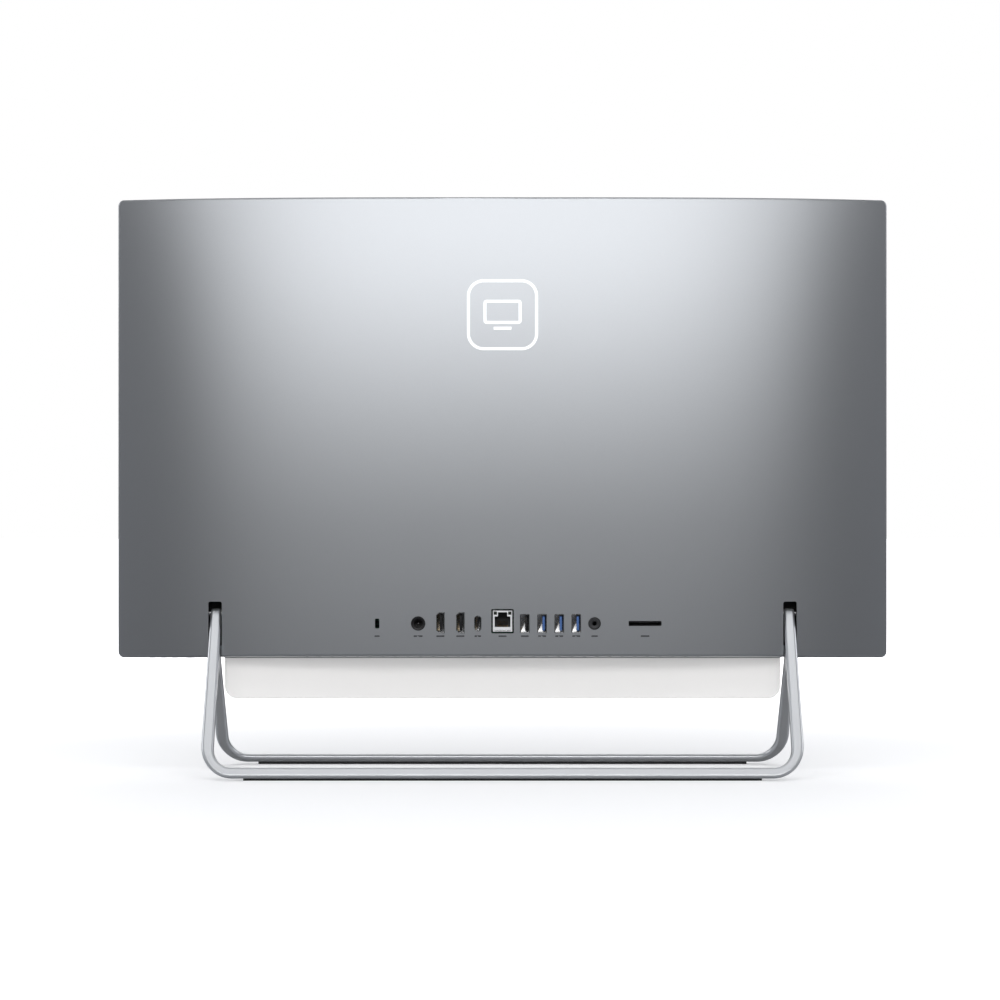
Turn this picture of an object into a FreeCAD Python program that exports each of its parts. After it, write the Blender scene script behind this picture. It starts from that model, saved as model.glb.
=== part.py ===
import FreeCAD, Part
import math
import os

# An all-in-one desktop computer: a wide display case with a pillow-shaped back, a slim
# loudspeaker bar under it, and an easel stand of two U-shaped frames, of which the rear one
# swings on two friction hinges.
# Millimetres, +Z up, the screen faces -Y. Every length in Y is measured back from the front
# glass. The last lines shift the finished pieces so that the footprint is centred on the origin.

# Display case
CASE_W = 613.4
CASE_H = 365.0
CASE_Z = 91.2                 # underside of the case above the table
CASE_CORNER_R = 4.8
SEAM_Y = 5.0                  # joint between the middle frame and the back cover
EDGE_Y = 13.0                 # rear edge of the thin side walls
BULGE_LOW = 36.0              # how far the back swells behind that edge, low down
BULGE_TOP = 26.0              # and at the top edge
BULGE_EASE_Z = 100.0          # height above the underside where the swelling starts to fade
BULGE_POWER = 3.5
UNDERSIDE_RISE = 3.0          # rise of the underside towards the rear
COVER_T = 2.2
COVER_EDGE_R = 1.5
LIP_GAP = 0.2                 # between the cover's wall and the lip of the middle frame inside it
LIP_T = 1.4
LIP_D = 5.0
FRAME_T = 1.8                 # visible rim of the middle frame
LEDGE_W = 6.0                 # ledge that the glass is bonded to
LEDGE_T = 1.2
FIT = 0.3                     # general clearance between neighbouring pieces
SEAT = 0.1                    # gap between pieces that seat on each other

# Front glass, panel and steel plate
GLASS_T = 2.0
PANEL_SIDE = 4.3              # between the side of the case and the panel
PANEL_END = 7.0               # and above and below it
PANEL_T = 6.0
PLATE_T = 1.0
PLATE_MARGIN = 11.0
PLATE_HOLE_W = 62.0
PLATE_HOLE_H = 34.0
PLATE_HOLE_COLUMNS = 6
PLATE_HOLE_ROWS = 2
PLATE_HOLE_PITCH_X = 88.0
PLATE_HOLE_PITCH_Z = 62.0
PLATE_HOLE_TOP = 43.4         # from the plate's top edge to the first row's middle
PLATE_HOLE_R = 4.0

# Stand frames
LEG_INSET = 72.9              # from the side of the case to the outer face of a leg
BEND_R = 24.5                 # outer bend between leg and foot bar
FRAME_D = 7.5                 # thickness of both frames
FRAME_EDGE_R = 2.4
STRIP_INSET = 33.3            # rubber foot strips, from the outer face of a leg
STRIP_W = 4.2
STRIP_GROOVE = 1.0
REAR_FOOT_Z = 1.6             # height of the rear bar above the table
REAR_BAR_H = 8.1
REAR_LEG_W = 9.3
REAR_LEG_TAPER = 0.5          # the leg narrows by this much at the hinge
REAR_TOP_INSET = 2.2          # the legs lean inwards, so their upper ends stand closer together
FRONT_TOP_INSET = 1.6
REAR_BEND_INNER_R = 14.0
REAR_LEAN = 28.0
FRONT_FOOT_Z = 1.75
FRONT_BAR_H = 6.35
FRONT_LEG_W = 10.0
FRONT_LEG_TOP_W = 6.9
FRONT_BEND_INNER_R = 16.0
FRONT_LEAN = 40.0
FRONT_LEG_TOP = 5.8           # length of leg inside the case

# Hinges and leg slots
HINGE_Y = 26.0
HINGE_Z = 127.0
SHAFT_R = 2.5
RUNNING = 0.05
SLOT_GAP_INNER = 0.9          # gap between the leg's upper end and the slot's inner side
SLOT_GAP_OUTER = 0.3
SLOT_TOP_Z = 136.6
SLOT_CORNER_R = 1.6
LINER_T = 1.2
LINER_GAP = 2.15              # between the round leg end and the liner's front wall
LINER_HOLE_R = 3.2
CHEEK_T = 3.4
CHEEK_R = 4.6
CHEEK_GAP = 1.6
WEB_T = 2.0
WEB_EAR = 7.0
WEB_H = 22.0
WASHER_T = 0.7
WASHER_R = 4.4
HEAD_T = 2.4
HEAD_R = 4.0
ANCHOR_D = 8.8
ANCHOR_H = 4.0
ANCHOR_EAR = 11.0

# Screws
SCREW_R = 1.5
SCREW_HEAD_R = 2.75
SCREW_HEAD_T = 1.6
SCREW_DRIVE_R = 1.05
PLATE_SCREW_X = 73.925        # inner columns of the plate's screws
PLATE_SCREW_GAP = 5.31        # from the leg anchors' ears to the outer columns

# Loudspeaker bar
BAR_INSET = 12.5              # from the outer face of a leg to the end of the bar
BAR_H = 32.4
BAR_Y = 2.0
BAR_D = 18.0
BAR_CORNER_R = 10.0
BAR_REAR_R = 2.5
BAR_T = 1.6
GRILLE_T = 2.4
GRILLE_SLOTS = 26
GRILLE_SLOT_W = 1.2
GRILLE_PITCH = 3.4
GRILLE_END = 1.0              # the slots end this far inside the loudspeaker's height
SPEAKER_INSET = 72.2          # from the end of the bar to the middle of a loudspeaker
SPEAKER_W = 96.0
SPEAKER_H = 24.0
SPEAKER_D = 4.0
CONE_D = 3.0
CONE_R = 10.5
MAGNET_R = 9.0
MAGNET_T = 6.5

# Main circuit board
BOARD_X = (-135.0, 115.0)
BOARD_Z = (100.0, 284.0)
BOARD_Y = 26.0
BOARD_T = 1.6
STANDOFF_R = 3.0
STANDOFF_X = (-129.0, -10.0, 109.0)
STANDOFF_INSET = 6.0
STANDOFF_BORE = 6.0
STANDOFF_THREAD = 5.0         # length of the board's screws inside the standoffs

# Sockets in the back, seen as X position and height, with the width and height of the opening
PORT_Z = 119.7
PORT_RECESS = 0.8             # socket faces lie this far inside the cover's surface
LOCK_X = 98.7
LOCK_W = 3.5
LOCK_H = 7.7
LOCK_CORNER_R = 1.0
LOCK_PLATE = 16.0
LOCK_PLATE_T = 2.4
LOCK_FOOT_T = 2.0
POWER_X = 66.4
POWER_D = 11.4
POWER_BORE_D = 7.4
POWER_PIN_D = 1.2
HDMI_X = (48.9, 33.2)
HDMI_Z = 120.3
HDMI_W = 6.8
HDMI_H = 16.7
HDMI_TAPER = 2.2
USBC_X = 19.5
USBC_W = 5.7
USBC_H = 12.6
NETWORK_Z = 121.5
NETWORK_W = 17.7
NETWORK_H = 19.1
NETWORK_CORNER_R = 1.0
NETWORK_FACE_R = 0.5
NETWORK_GAP = 1.2             # dark joint around the socket's face
PLUG_W = 12.4
PLUG_H = 8.3
LATCH_W = 7.3
LATCH_H = 3.3
PLUG_DEPTH = 12.0
LEDGE_BELOW_PLUG = 5.0
USB2_X = -17.5
USB3_X = (-31.1, -44.6, -58.0)
USB_W = 7.6
USB_H = 15.1
TONGUE_T = 1.9
TONGUE_INSET = 1.0            # the tongue ends this far inside the mouth
TONGUE_SHORT = 4.0            # and is this much shorter than the socket's height
USB_TONGUE_SHIFT = 1.27
USBC_TONGUE_T = 0.8
HEADPHONE_X = -72.4
HEADPHONE_D = 10.1
HEADPHONE_BORE_D = 3.6
HEADPHONE_DEPTH = 14.0
CARD_X = -112.2
CARD_W = 26.0
CARD_H = 4.0
CARD_DEPTH = 16.0
PORT_WALL = 0.7
PORT_CORNER_R = 0.8
PORT_INNER_R = 0.4
PORT_DEPTH = 11.0

# Cooling
CPU_X = 20.0
CPU_Z = 215.0
CPU_W = 37.5
CPU_T = 3.0
COLD_PLATE_W = 46.0
COLD_PLATE_T = 3.0
PIPE_R = 3.0
PIPE_GAP = 11.0
PIPE_FAN_GAP = 14.0
PIPE_BEND_R = 14.0
PIPE_TUCK = 2.0               # from the pipes' ends to the edge of what they are soldered to
FIN_W = 78.0
FIN_H = 22.0
FIN_D = 12.5
FIN_T = 0.6
FIN_PITCH = 3.0
FIN_BASE_T = 1.0
FAN_INSET = 154.7             # from the side of the case to the fan's axis
FAN_Z = 330.0
FAN_W = 86.0
FAN_CORNER_R = 4.0
FAN_FOOT = 3.4
FAN_FOOT_R = 3.0
FAN_FOOT_X = 37.0             # the feet stand this far from the axis
FAN_FOOT_Z = (-37.0, 22.2)
FAN_D = 18.0
FAN_T = 1.2
FAN_CAVITY_R = 38.5
FAN_INLET_R = 25.0
FAN_PIN_R = 1.5
IMPELLER_R = 36.0
IMPELLER_D = 12.5
IMPELLER_GAP = 1.2
IMPELLER_DISC_T = 1.0
HUB_R = 15.0
BLADE_COUNT = 17
BLADE_T = 1.0
BLADE_ROOT = 1.0
BLADE_TIP_GAP = 0.5
BLADE_ANGLE = 25.0
VENT_W = 2.4
VENT_PITCH = 5.0
VENT_COUNT = 16
TOP_VENT_Y = (18.0, 31.0)
LOW_VENT_Y = (24.0, 38.0)

# Plug-in pieces
MEMORY_W = 67.6
MEMORY_H = 30.0
MEMORY_T = 3.6
MEMORY_X = -118.0
MEMORY_Z = (208.0, 246.0)
MODULE_SOCKET_H = 4.0
MODULE_CARD_T = 1.0
CHIP_T = 1.0
CHIP_LOW = 7.0                # chips stand this far above a module's lower edge
CHIP_TOP = 5.0                # and this far below its upper edge
CHIP_SHARE = 0.7              # of the pitch between chips
SSD_W = 80.0
SSD_H = 22.0
SSD_T = 2.4
SSD_X = -118.0
SSD_Z = 172.0
CARD_RADIO_W = 30.0
CARD_RADIO_H = 22.0
CARD_RADIO_X = 60.0
CARD_RADIO_Z = 250.0
CELL_R = 10.0
CELL_T = 3.2
CELL_X = 80.0
CELL_Z = 175.0
DRIVE_W = 69.8
DRIVE_H = 100.0
DRIVE_T = 9.5
DRIVE_INSET = 91.7
DRIVE_GAP = 8.0               # between the main board and the drive above it
DRIVE_CORNER_R = 2.0
CADDY_T = 1.2
ANTENNA_W = 42.0
ANTENNA_H = 9.0
ANTENNA_T = 1.2
ANTENNA_DROP = 1.0
ANTENNA_INSET = 56.7

# Rising camera
CAMERA_W = 60.0
CAMERA_D = 6.0
CAMERA_H = 24.0
CAMERA_GAP = 1.8              # between the steel plate and the camera
CAMERA_EDGE_R = 1.0
LENS_R = 2.8
LENS_T = 1.0
LENS_DROP = 7.0
GUIDE_T = 1.6
GUIDE_H = 22.0

# Buttons on the underside
POWER_BUTTON_INSET = 57.7     # from the side of the case
POWER_BUTTON_R = 3.4
BUTTON_INSETS = (45.7, 36.7, 27.7)
BUTTON_R = 2.4
BUTTON_GAP = 0.2
BUTTON_FLANGE = 0.8
BUTTON_FLANGE_T = 1.0
BUTTON_H = 5.2
BUTTON_TRAVEL = 0.6
SWITCH_W = 4.0
SWITCH_T = 1.0
BUTTON_BOARD_T = 1.0

# Emblem: a rounded square outline with a plain monitor sign inside
EMBLEM_DROP = 93.3            # from the top of the case to the emblem's middle
EMBLEM_W = 56.0
EMBLEM_LINE = 2.3
EMBLEM_R = 13.0
EMBLEM_DEPTH = 0.5
EMBLEM_PROUD = 0.25
SIGN_W = 30.0
SIGN_H = 19.0
SIGN_R = 2.5
SIGN_FOOT_W = 14.0

HALF_W = CASE_W / 2
LIP_INSET = COVER_T + LIP_GAP
CASE_TOP = CASE_Z + CASE_H
PANEL_W = CASE_W - 2 * PANEL_SIDE
PANEL_H = CASE_H - 2 * PANEL_END
LEG_OUTER_X = HALF_W - LEG_INSET
FRONT_LEG_Y = SEAM_Y + SEAT + FRAME_D / 2 / math.cos(math.radians(FRONT_LEAN))
LEG_STRAIGHT_Z = REAR_FOOT_Z + BEND_R + 1
LEG_TOP_Z = HINGE_Z + FRAME_D
LEG_SHARE = (CASE_Z - LEG_STRAIGHT_Z) / (LEG_TOP_Z - LEG_STRAIGHT_Z)
REAR_TOP_X = LEG_OUTER_X - REAR_TOP_INSET
SLOT_INNER_X = REAR_TOP_X - REAR_LEG_W + REAR_LEG_TAPER - SLOT_GAP_INNER
SLOT_OUTER_X = LEG_OUTER_X - REAR_TOP_INSET * LEG_SHARE + SLOT_GAP_OUTER
FRONT_TOP_X = LEG_OUTER_X - FRONT_TOP_INSET
LINER_Y = HINGE_Y - FRAME_D / 2 - LINER_GAP - LINER_T
BAR_W = 2 * (LEG_OUTER_X - BAR_INSET)
SPEAKER_X = BAR_W / 2 - SPEAKER_INSET
PLATE_Y = GLASS_T + LEDGE_T + PANEL_T + 4 * SEAT
PLATE_REAR = PLATE_Y + PLATE_T
FAN_X = HALF_W - FAN_INSET
FAN_Y = PLATE_REAR + FAN_FOOT
PIPE_RISER_X = FAN_X - FAN_W / 2 - PIPE_FAN_GAP
FIN_X = (FAN_X - FIN_W / 2, FAN_X + FIN_W / 2)
DRIVE_X = DRIVE_INSET - HALF_W
DRIVE_Z = BOARD_Z[1] + DRIVE_GAP
ANTENNA_X = HALF_W - ANTENNA_INSET
CAMERA_Y = PLATE_REAR + CAMERA_GAP
POWER_BUTTON_X = HALF_W - POWER_BUTTON_INSET
BUTTON_X = tuple(HALF_W - inset for inset in BUTTON_INSETS)
BUTTON_Y = PLATE_REAR + POWER_BUTTON_R + BUTTON_FLANGE + 2 * BUTTON_GAP
EMBLEM_Z = CASE_TOP - EMBLEM_DROP
BOARD_REAR = BOARD_Y + BOARD_T
FAR = 70.0                    # behind everything in the case, for cutting tools
PLATE_X = HALF_W - PLATE_MARGIN
PLATE_Z = (CASE_Z + LIP_INSET + LIP_T + SEAT, CASE_TOP - LIP_INSET - LIP_T - SEAT)


def vec(x, y, z):
    return FreeCAD.Vector(x, y, z)


def box(x0, x1, y0, y1, z0, z1):
    return Part.makeBox(x1 - x0, y1 - y0, z1 - z0, vec(x0, y0, z0))


def rod_x(r, x0, x1, y, z):
    return Part.makeCylinder(r, x1 - x0, vec(x0, y, z), vec(1, 0, 0))


def rod_y(r, y0, y1, x, z):
    return Part.makeCylinder(r, y1 - y0, vec(x, y0, z), vec(0, 1, 0))


def rod_z(r, z0, z1, x, y):
    return Part.makeCylinder(r, z1 - z0, vec(x, y, z0), vec(0, 0, 1))


def fuse(pieces):
    return pieces[0].multiFuse(pieces[1:]).removeSplitter() if len(pieces) > 1 else pieces[0]


def edges_along(shape, axis):
    """Straight edges of a shape that run along an axis."""
    found = []
    for edge in shape.Edges:
        straight = edge.Curve.TypeId == "Part::GeomLine"
        if straight and abs(edge.tangentAt(edge.FirstParameter).dot(axis)) > 0.999:
            found.append(edge)
    return found


def rounded_block(x0, x1, y0, y1, z0, z1, r):
    """Block whose four edges along Y are rounded."""
    block = box(x0, x1, y0, y1, z0, z1)
    return block.makeFillet(r, edges_along(block, vec(0, 1, 0)))


def one_solid(shape):
    return shape.Solids[0] if len(shape.Solids) == 1 else shape


def mirrored(shape):
    return shape.mirror(vec(0, 0, 0), vec(1, 0, 0))


# ---------------------------------------------------------------- case

def back_y(x, z):
    """Outer surface of the back: flat-topped across the width, fading towards the top edge."""
    fade = max(0.0, (z - CASE_Z - BULGE_EASE_Z) / (CASE_H - BULGE_EASE_Z))
    depth = BULGE_LOW - (BULGE_LOW - BULGE_TOP) * fade ** 2
    return EDGE_Y + depth * (1 - abs(x / HALF_W) ** BULGE_POWER)


def beyond_back(shift):
    """Everything behind the back surface, which is first moved along Y by a shift."""
    columns = 36
    rows = 12
    margin = 18.0
    grid = []
    for i in range(columns + 1):
        x = -HALF_W - margin + (CASE_W + 2 * margin) * i / columns
        line = []
        for j in range(rows + 1):
            z = CASE_Z - margin + (CASE_H + 2 * margin) * j / rows
            line.append(vec(x, back_y(x, z) + shift, z))
        grid.append(line)
    surface = Part.BSplineSurface()
    surface.interpolate(grid)
    return surface.toShape().extrude(vec(0, 2 * FAR, 0))


def under_case(lift):
    """Wedge that lifts the underside towards the rear."""
    slope = UNDERSIDE_RISE / BULGE_LOW
    base = CASE_Z + lift
    points = [vec(-HALF_W - FAR, EDGE_Y, base), vec(-HALF_W - FAR, EDGE_Y + FAR, base + slope * FAR),
              vec(-HALF_W - FAR, EDGE_Y + FAR, base - FAR), vec(-HALF_W - FAR, EDGE_Y, base - FAR)]
    return Part.Face(Part.makePolygon(points + points[:1])).extrude(vec(CASE_W + 2 * FAR, 0, 0))


def case_solid(inset, y0, shift):
    block = rounded_block(-HALF_W + inset, HALF_W - inset, y0, FAR, CASE_Z + inset, CASE_TOP - inset,
                          CASE_CORNER_R - inset)
    return one_solid(block.cut(beyond_back(shift)).cut(under_case(inset)))


def slot_tool(side, y0, z0):
    """The leg slot of one side, open at the bottom."""
    tool = box(SLOT_INNER_X, SLOT_OUTER_X, y0, FAR, z0, SLOT_TOP_Z)
    top = [e for e in edges_along(tool, vec(0, 1, 0)) if e.CenterOfMass.z > SLOT_TOP_Z - 1]
    tool = tool.makeFillet(SLOT_CORNER_R, top)
    return tool if side > 0 else mirrored(tool)


def hdmi_outline(x, y0, y1, margin):
    """Socket outline with two chamfered corners on its +X side."""
    w = HDMI_W / 2 + margin
    h = HDMI_H / 2 + margin
    points = [vec(x - w, y0, HDMI_Z - h), vec(x + w - HDMI_TAPER, y0, HDMI_Z - h),
              vec(x + w, y0, HDMI_Z - h + HDMI_TAPER), vec(x + w, y0, HDMI_Z + h - HDMI_TAPER),
              vec(x + w - HDMI_TAPER, y0, HDMI_Z + h), vec(x - w, y0, HDMI_Z + h)]
    return Part.Face(Part.makePolygon(points + points[:1])).extrude(vec(0, y1 - y0, 0))


def upright_slot(x, z, w, h, y0, y1, r):
    return rounded_block(x - w / 2, x + w / 2, y0, y1, z - h / 2, z + h / 2, r)


def emblem_prism():
    """Outline of the emblem and its sign, as solids that cross the back wall."""
    outer = upright_slot(0, EMBLEM_Z, EMBLEM_W, EMBLEM_W, BOARD_REAR, FAR, EMBLEM_R)
    inner_w = EMBLEM_W - 2 * EMBLEM_LINE
    ring = outer.cut(upright_slot(0, EMBLEM_Z, inner_w, inner_w, 0, 2 * FAR, EMBLEM_R - EMBLEM_LINE))
    sign = upright_slot(0, EMBLEM_Z + EMBLEM_LINE, SIGN_W, SIGN_H, BOARD_REAR, FAR, SIGN_R)
    screen_w = SIGN_W - 2 * EMBLEM_LINE
    screen_h = SIGN_H - 2 * EMBLEM_LINE
    sign = sign.cut(box(-screen_w / 2, screen_w / 2, 0, 2 * FAR, EMBLEM_Z + EMBLEM_LINE - screen_h / 2,
                        EMBLEM_Z + EMBLEM_LINE + screen_h / 2))
    foot_z = EMBLEM_Z + EMBLEM_LINE - SIGN_H / 2 - EMBLEM_LINE
    foot = box(-SIGN_FOOT_W / 2, SIGN_FOOT_W / 2, BOARD_REAR, FAR, foot_z - EMBLEM_LINE, foot_z)
    return [ring, sign, foot]


def emblem_badge():
    inlays = []
    for prism in emblem_prism():
        inlay = prism.common(beyond_back(-EMBLEM_DEPTH)).cut(beyond_back(EMBLEM_PROUD))
        inlays.append(one_solid(inlay))
    return Part.makeCompound(inlays)


def port_cutouts():
    """Openings in the back wall, each a little wider than its socket."""
    y0 = BOARD_REAR
    cuts = [upright_slot(LOCK_X, PORT_Z, LOCK_W, LOCK_H, y0, FAR, LOCK_CORNER_R)]
    cuts.append(rod_y(POWER_D / 2, y0, FAR, POWER_X, PORT_Z))
    for x in HDMI_X:
        cuts.append(hdmi_outline(x, y0, FAR, 0))
    cuts.append(upright_slot(USBC_X, PORT_Z, USBC_W, USBC_H, y0, FAR, USBC_W / 2 - SEAT))
    cuts.append(upright_slot(0, NETWORK_Z, NETWORK_W, NETWORK_H, y0, FAR, NETWORK_CORNER_R))
    for x in (USB2_X,) + USB3_X:
        cuts.append(upright_slot(x, PORT_Z, USB_W, USB_H, y0, FAR, PORT_CORNER_R))
    cuts.append(rod_y(HEADPHONE_D / 2, y0, FAR, HEADPHONE_X, PORT_Z))
    cuts.append(upright_slot(CARD_X, PORT_Z, CARD_W, CARD_H, y0, FAR, PORT_CORNER_R))
    return cuts


def vent_slots():
    """Air outlet above the fan and air inlet in the underside, as rows of slots."""
    cuts = []
    fan_row = [FAN_X + VENT_PITCH * (i - (VENT_COUNT - 1) / 2) for i in range(VENT_COUNT)]
    for x in fan_row:
        cuts.append(box(x - VENT_W / 2, x + VENT_W / 2, TOP_VENT_Y[0], TOP_VENT_Y[1], CASE_TOP - 2 * COVER_T,
                        CASE_TOP + 1))
    for i in range(2 * VENT_COUNT):
        x = 2 * VENT_PITCH * (i - VENT_COUNT + 0.5)
        cuts.append(box(x - VENT_W / 2, x + VENT_W / 2, LOW_VENT_Y[0], LOW_VENT_Y[1], CASE_Z - 1,
                        CASE_Z + 3 * COVER_T))
    return cuts


def button_places():
    return [(POWER_BUTTON_X, POWER_BUTTON_R)] + [(x, BUTTON_R) for x in BUTTON_X]


def back_cover(inner):
    cover = case_solid(0, SEAM_Y, 0)
    back = max(cover.Faces, key=lambda face: face.Area if "BSpline" in face.Surface.TypeId else 0)
    cover = cover.makeFillet(COVER_EDGE_R, back.Edges)
    cuts = [inner]
    cuts += port_cutouts()
    cuts += vent_slots()
    cuts += [slot_tool(side, 0, CASE_Z - 1) for side in (1, -1)]
    cuts.append(box(-CAMERA_W / 2 - FIT, CAMERA_W / 2 + FIT, CAMERA_Y - FIT, CAMERA_Y + CAMERA_D + FIT,
                    CASE_TOP - 2 * COVER_T, CASE_TOP + 1))
    for x, r in button_places():
        cuts.append(rod_z(r + BUTTON_GAP, CASE_Z - 1, CASE_Z + 2 * COVER_T, x, BUTTON_Y))
    return one_solid(cover.cut(Part.makeCompound(cuts)).cut(emblem_badge()))


def middle_frame():
    """Visible front rim, the ledge behind the glass and the lip inside the back cover."""
    def ring(inset, wall, y0, y1):
        outer = rounded_block(-HALF_W + inset, HALF_W - inset, y0, y1, CASE_Z + inset, CASE_TOP - inset,
                              CASE_CORNER_R - inset * 0.9)
        rim = inset + wall
        return outer.cut(box(-HALF_W + rim, HALF_W - rim, y0 - 1, y1 + 1, CASE_Z + rim, CASE_TOP - rim))
    rim = ring(0, FRAME_T, 0, SEAM_Y)
    joint = ring(SEAT, LIP_INSET + LIP_T - SEAT, SEAM_Y - LEDGE_T, SEAM_Y)
    lip = ring(LIP_INSET, LIP_T, SEAM_Y - SEAT, SEAM_Y + LIP_D)
    ledge = ring(SEAT, LEDGE_W, GLASS_T + SEAT, GLASS_T + SEAT + LEDGE_T)
    frame = fuse([rim, joint, lip, ledge])
    gap = 2 * FIT
    for side in (1, -1):
        notch = box(SLOT_INNER_X - gap, SLOT_OUTER_X + gap, SEAM_Y, FAR, CASE_Z - 1, CASE_Z + 3 * LIP_INSET)
        frame = frame.cut(notch if side > 0 else mirrored(notch))
    return one_solid(frame)


def front_glass():
    inset = FRAME_T + SEAT
    return rounded_block(-HALF_W + inset, HALF_W - inset, 0, GLASS_T, CASE_Z + inset, CASE_TOP - inset,
                         CASE_CORNER_R - inset)


def panel_z():
    middle = CASE_Z + CASE_H / 2
    return middle - PANEL_H / 2, middle + PANEL_H / 2


def lcd_panel():
    y0 = GLASS_T + LEDGE_T + 2 * SEAT
    z0, z1 = panel_z()
    return box(-PANEL_W / 2, PANEL_W / 2, y0, y0 + PANEL_T, z0, z1)


def standoff_places():
    return [(x, z) for x in STANDOFF_X for z in (BOARD_Z[0] + STANDOFF_INSET, BOARD_Z[1] - STANDOFF_INSET)]


def web_screw_places():
    """Screws through the hinge webs and the leg anchors of the +X side."""
    web_x0, web_x1 = web_span()
    inset = WEB_EAR / 2
    web_z = (HINGE_Z - WEB_H / 2 + inset, HINGE_Z + WEB_H / 2 - inset)
    return [(x, z) for x in (web_x0 + inset, web_x1 - inset) for z in web_z]


def anchor_screw_places():
    inset = ANCHOR_EAR / 2
    z = anchor_z()[0] + ANCHOR_H / 2
    return [(SLOT_INNER_X - inset, z), (SLOT_OUTER_X + inset, z)]


def plate_screw_places():
    """Screws that hold the steel plate to the middle frame's bosses."""
    z0, z1 = PLATE_Z
    outer = SLOT_INNER_X - ANCHOR_EAR - PLATE_SCREW_GAP
    rows = (z0 + 2 * SCREW_HEAD_R, z1 - 2 * SCREW_HEAD_R)
    return [(x, z) for x in (-outer, -PLATE_SCREW_X, PLATE_SCREW_X, outer) for z in rows]


def base_plate():
    plate = box(-PLATE_X, PLATE_X, PLATE_Y, PLATE_REAR, PLATE_Z[0], PLATE_Z[1])
    cuts = []
    for i in range(PLATE_HOLE_COLUMNS):
        for j in range(PLATE_HOLE_ROWS):
            x = PLATE_HOLE_PITCH_X * (i - (PLATE_HOLE_COLUMNS - 1) / 2)
            z = PLATE_Z[1] - PLATE_HOLE_TOP - PLATE_HOLE_PITCH_Z * j
            cuts.append(upright_slot(x, z, PLATE_HOLE_W, PLATE_HOLE_H, PLATE_Y - 1, PLATE_REAR + 1,
                                     PLATE_HOLE_R))
    leg_top = CASE_Z + FRONT_LEG_TOP
    for side in (1, -1):
        notch = box(SLOT_INNER_X, SLOT_OUTER_X + FIT, PLATE_Y - 1, PLATE_REAR + 1, CASE_Z, leg_top + FIT)
        cuts.append(notch if side > 0 else mirrored(notch))
    for x, z in web_screw_places() + anchor_screw_places():
        for side in (1, -1):
            cuts.append(rod_y(SCREW_R + RUNNING, PLATE_Y - 1, PLATE_REAR + 1, side * x, z))
    for x, z in plate_screw_places():
        cuts.append(rod_y(SCREW_R + RUNNING, PLATE_Y - 1, PLATE_REAR + 1, x, z))
    return one_solid(plate.cut(Part.makeCompound(cuts)))


# ---------------------------------------------------------------- stand

def u_outline(foot_z, bar_h, top_z, leg_w, top_outer, top_w, inner_r):
    """U-shaped front view of a stand frame, as a long prism along Y with rounded bends."""
    reach = 4 * FAR
    inner_foot = LEG_OUTER_X - leg_w
    inner_top = top_outer - top_w
    right = [(LEG_OUTER_X, foot_z), (LEG_OUTER_X, foot_z + BEND_R + 1), (top_outer, top_z),
             (inner_top, top_z), (inner_foot, foot_z + bar_h)]
    left = [(-x, z) for x, z in reversed(right)]
    points = [vec(x, -reach, z) for x, z in right + left]
    prism = Part.Face(Part.makePolygon(points + points[:1])).extrude(vec(0, 2 * reach, 0))
    low = []
    for edge in edges_along(prism, vec(0, 1, 0)):
        if abs(edge.CenterOfMass.z - foot_z) < SEAT:
            low.append(edge)
    prism = prism.makeFillet(BEND_R, low)
    inner = []
    for edge in edges_along(prism, vec(0, 1, 0)):
        at_bar = abs(edge.CenterOfMass.z - foot_z - bar_h) < SEAT
        if at_bar and abs(abs(edge.CenterOfMass.x) - inner_foot) < SEAT:
            inner.append(edge)
    return prism.makeFillet(inner_r, inner)


def round_long_edges(frame, across):
    """Round the edges where the two broad faces meet the narrow faces of a leaned frame."""
    def broad(face):
        if face.Surface.TypeId == "Part::GeomPlane":
            return abs(face.normalAt(0, 0).dot(across)) > 0.9999
        return face.Surface.TypeId == "Part::GeomCylinder" and abs(face.Surface.Axis.x) > 0.9999
    edges = []
    for edge in frame.Edges:
        sides = [broad(face) for face in frame.ancestorsOfType(edge, Part.Face)]
        if len(sides) == 2 and sides.count(True) == 1:
            edges.append(edge)
    return frame.makeFillet(FRAME_EDGE_R, edges)


def rear_bar_y():
    return HINGE_Y + (HINGE_Z - REAR_FOOT_Z - REAR_BAR_H / 2) * math.tan(math.radians(REAR_LEAN))


def front_bar_y():
    return FRONT_LEG_Y - (CASE_Z - FRONT_FOOT_Z - FRONT_BAR_H / 2) * math.tan(math.radians(FRONT_LEAN))


def foot_strip(bar_y, foot_z, clearance):
    """Rubber strip under a foot bar. With a clearance it is the groove that holds it."""
    half = STRIP_W / 2 + clearance
    length = LEG_OUTER_X - STRIP_INSET + clearance
    low = 0 if clearance == 0 else -1
    strip = box(-length, length, bar_y - half, bar_y + half, low, foot_z + STRIP_GROOVE)
    return strip


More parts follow.
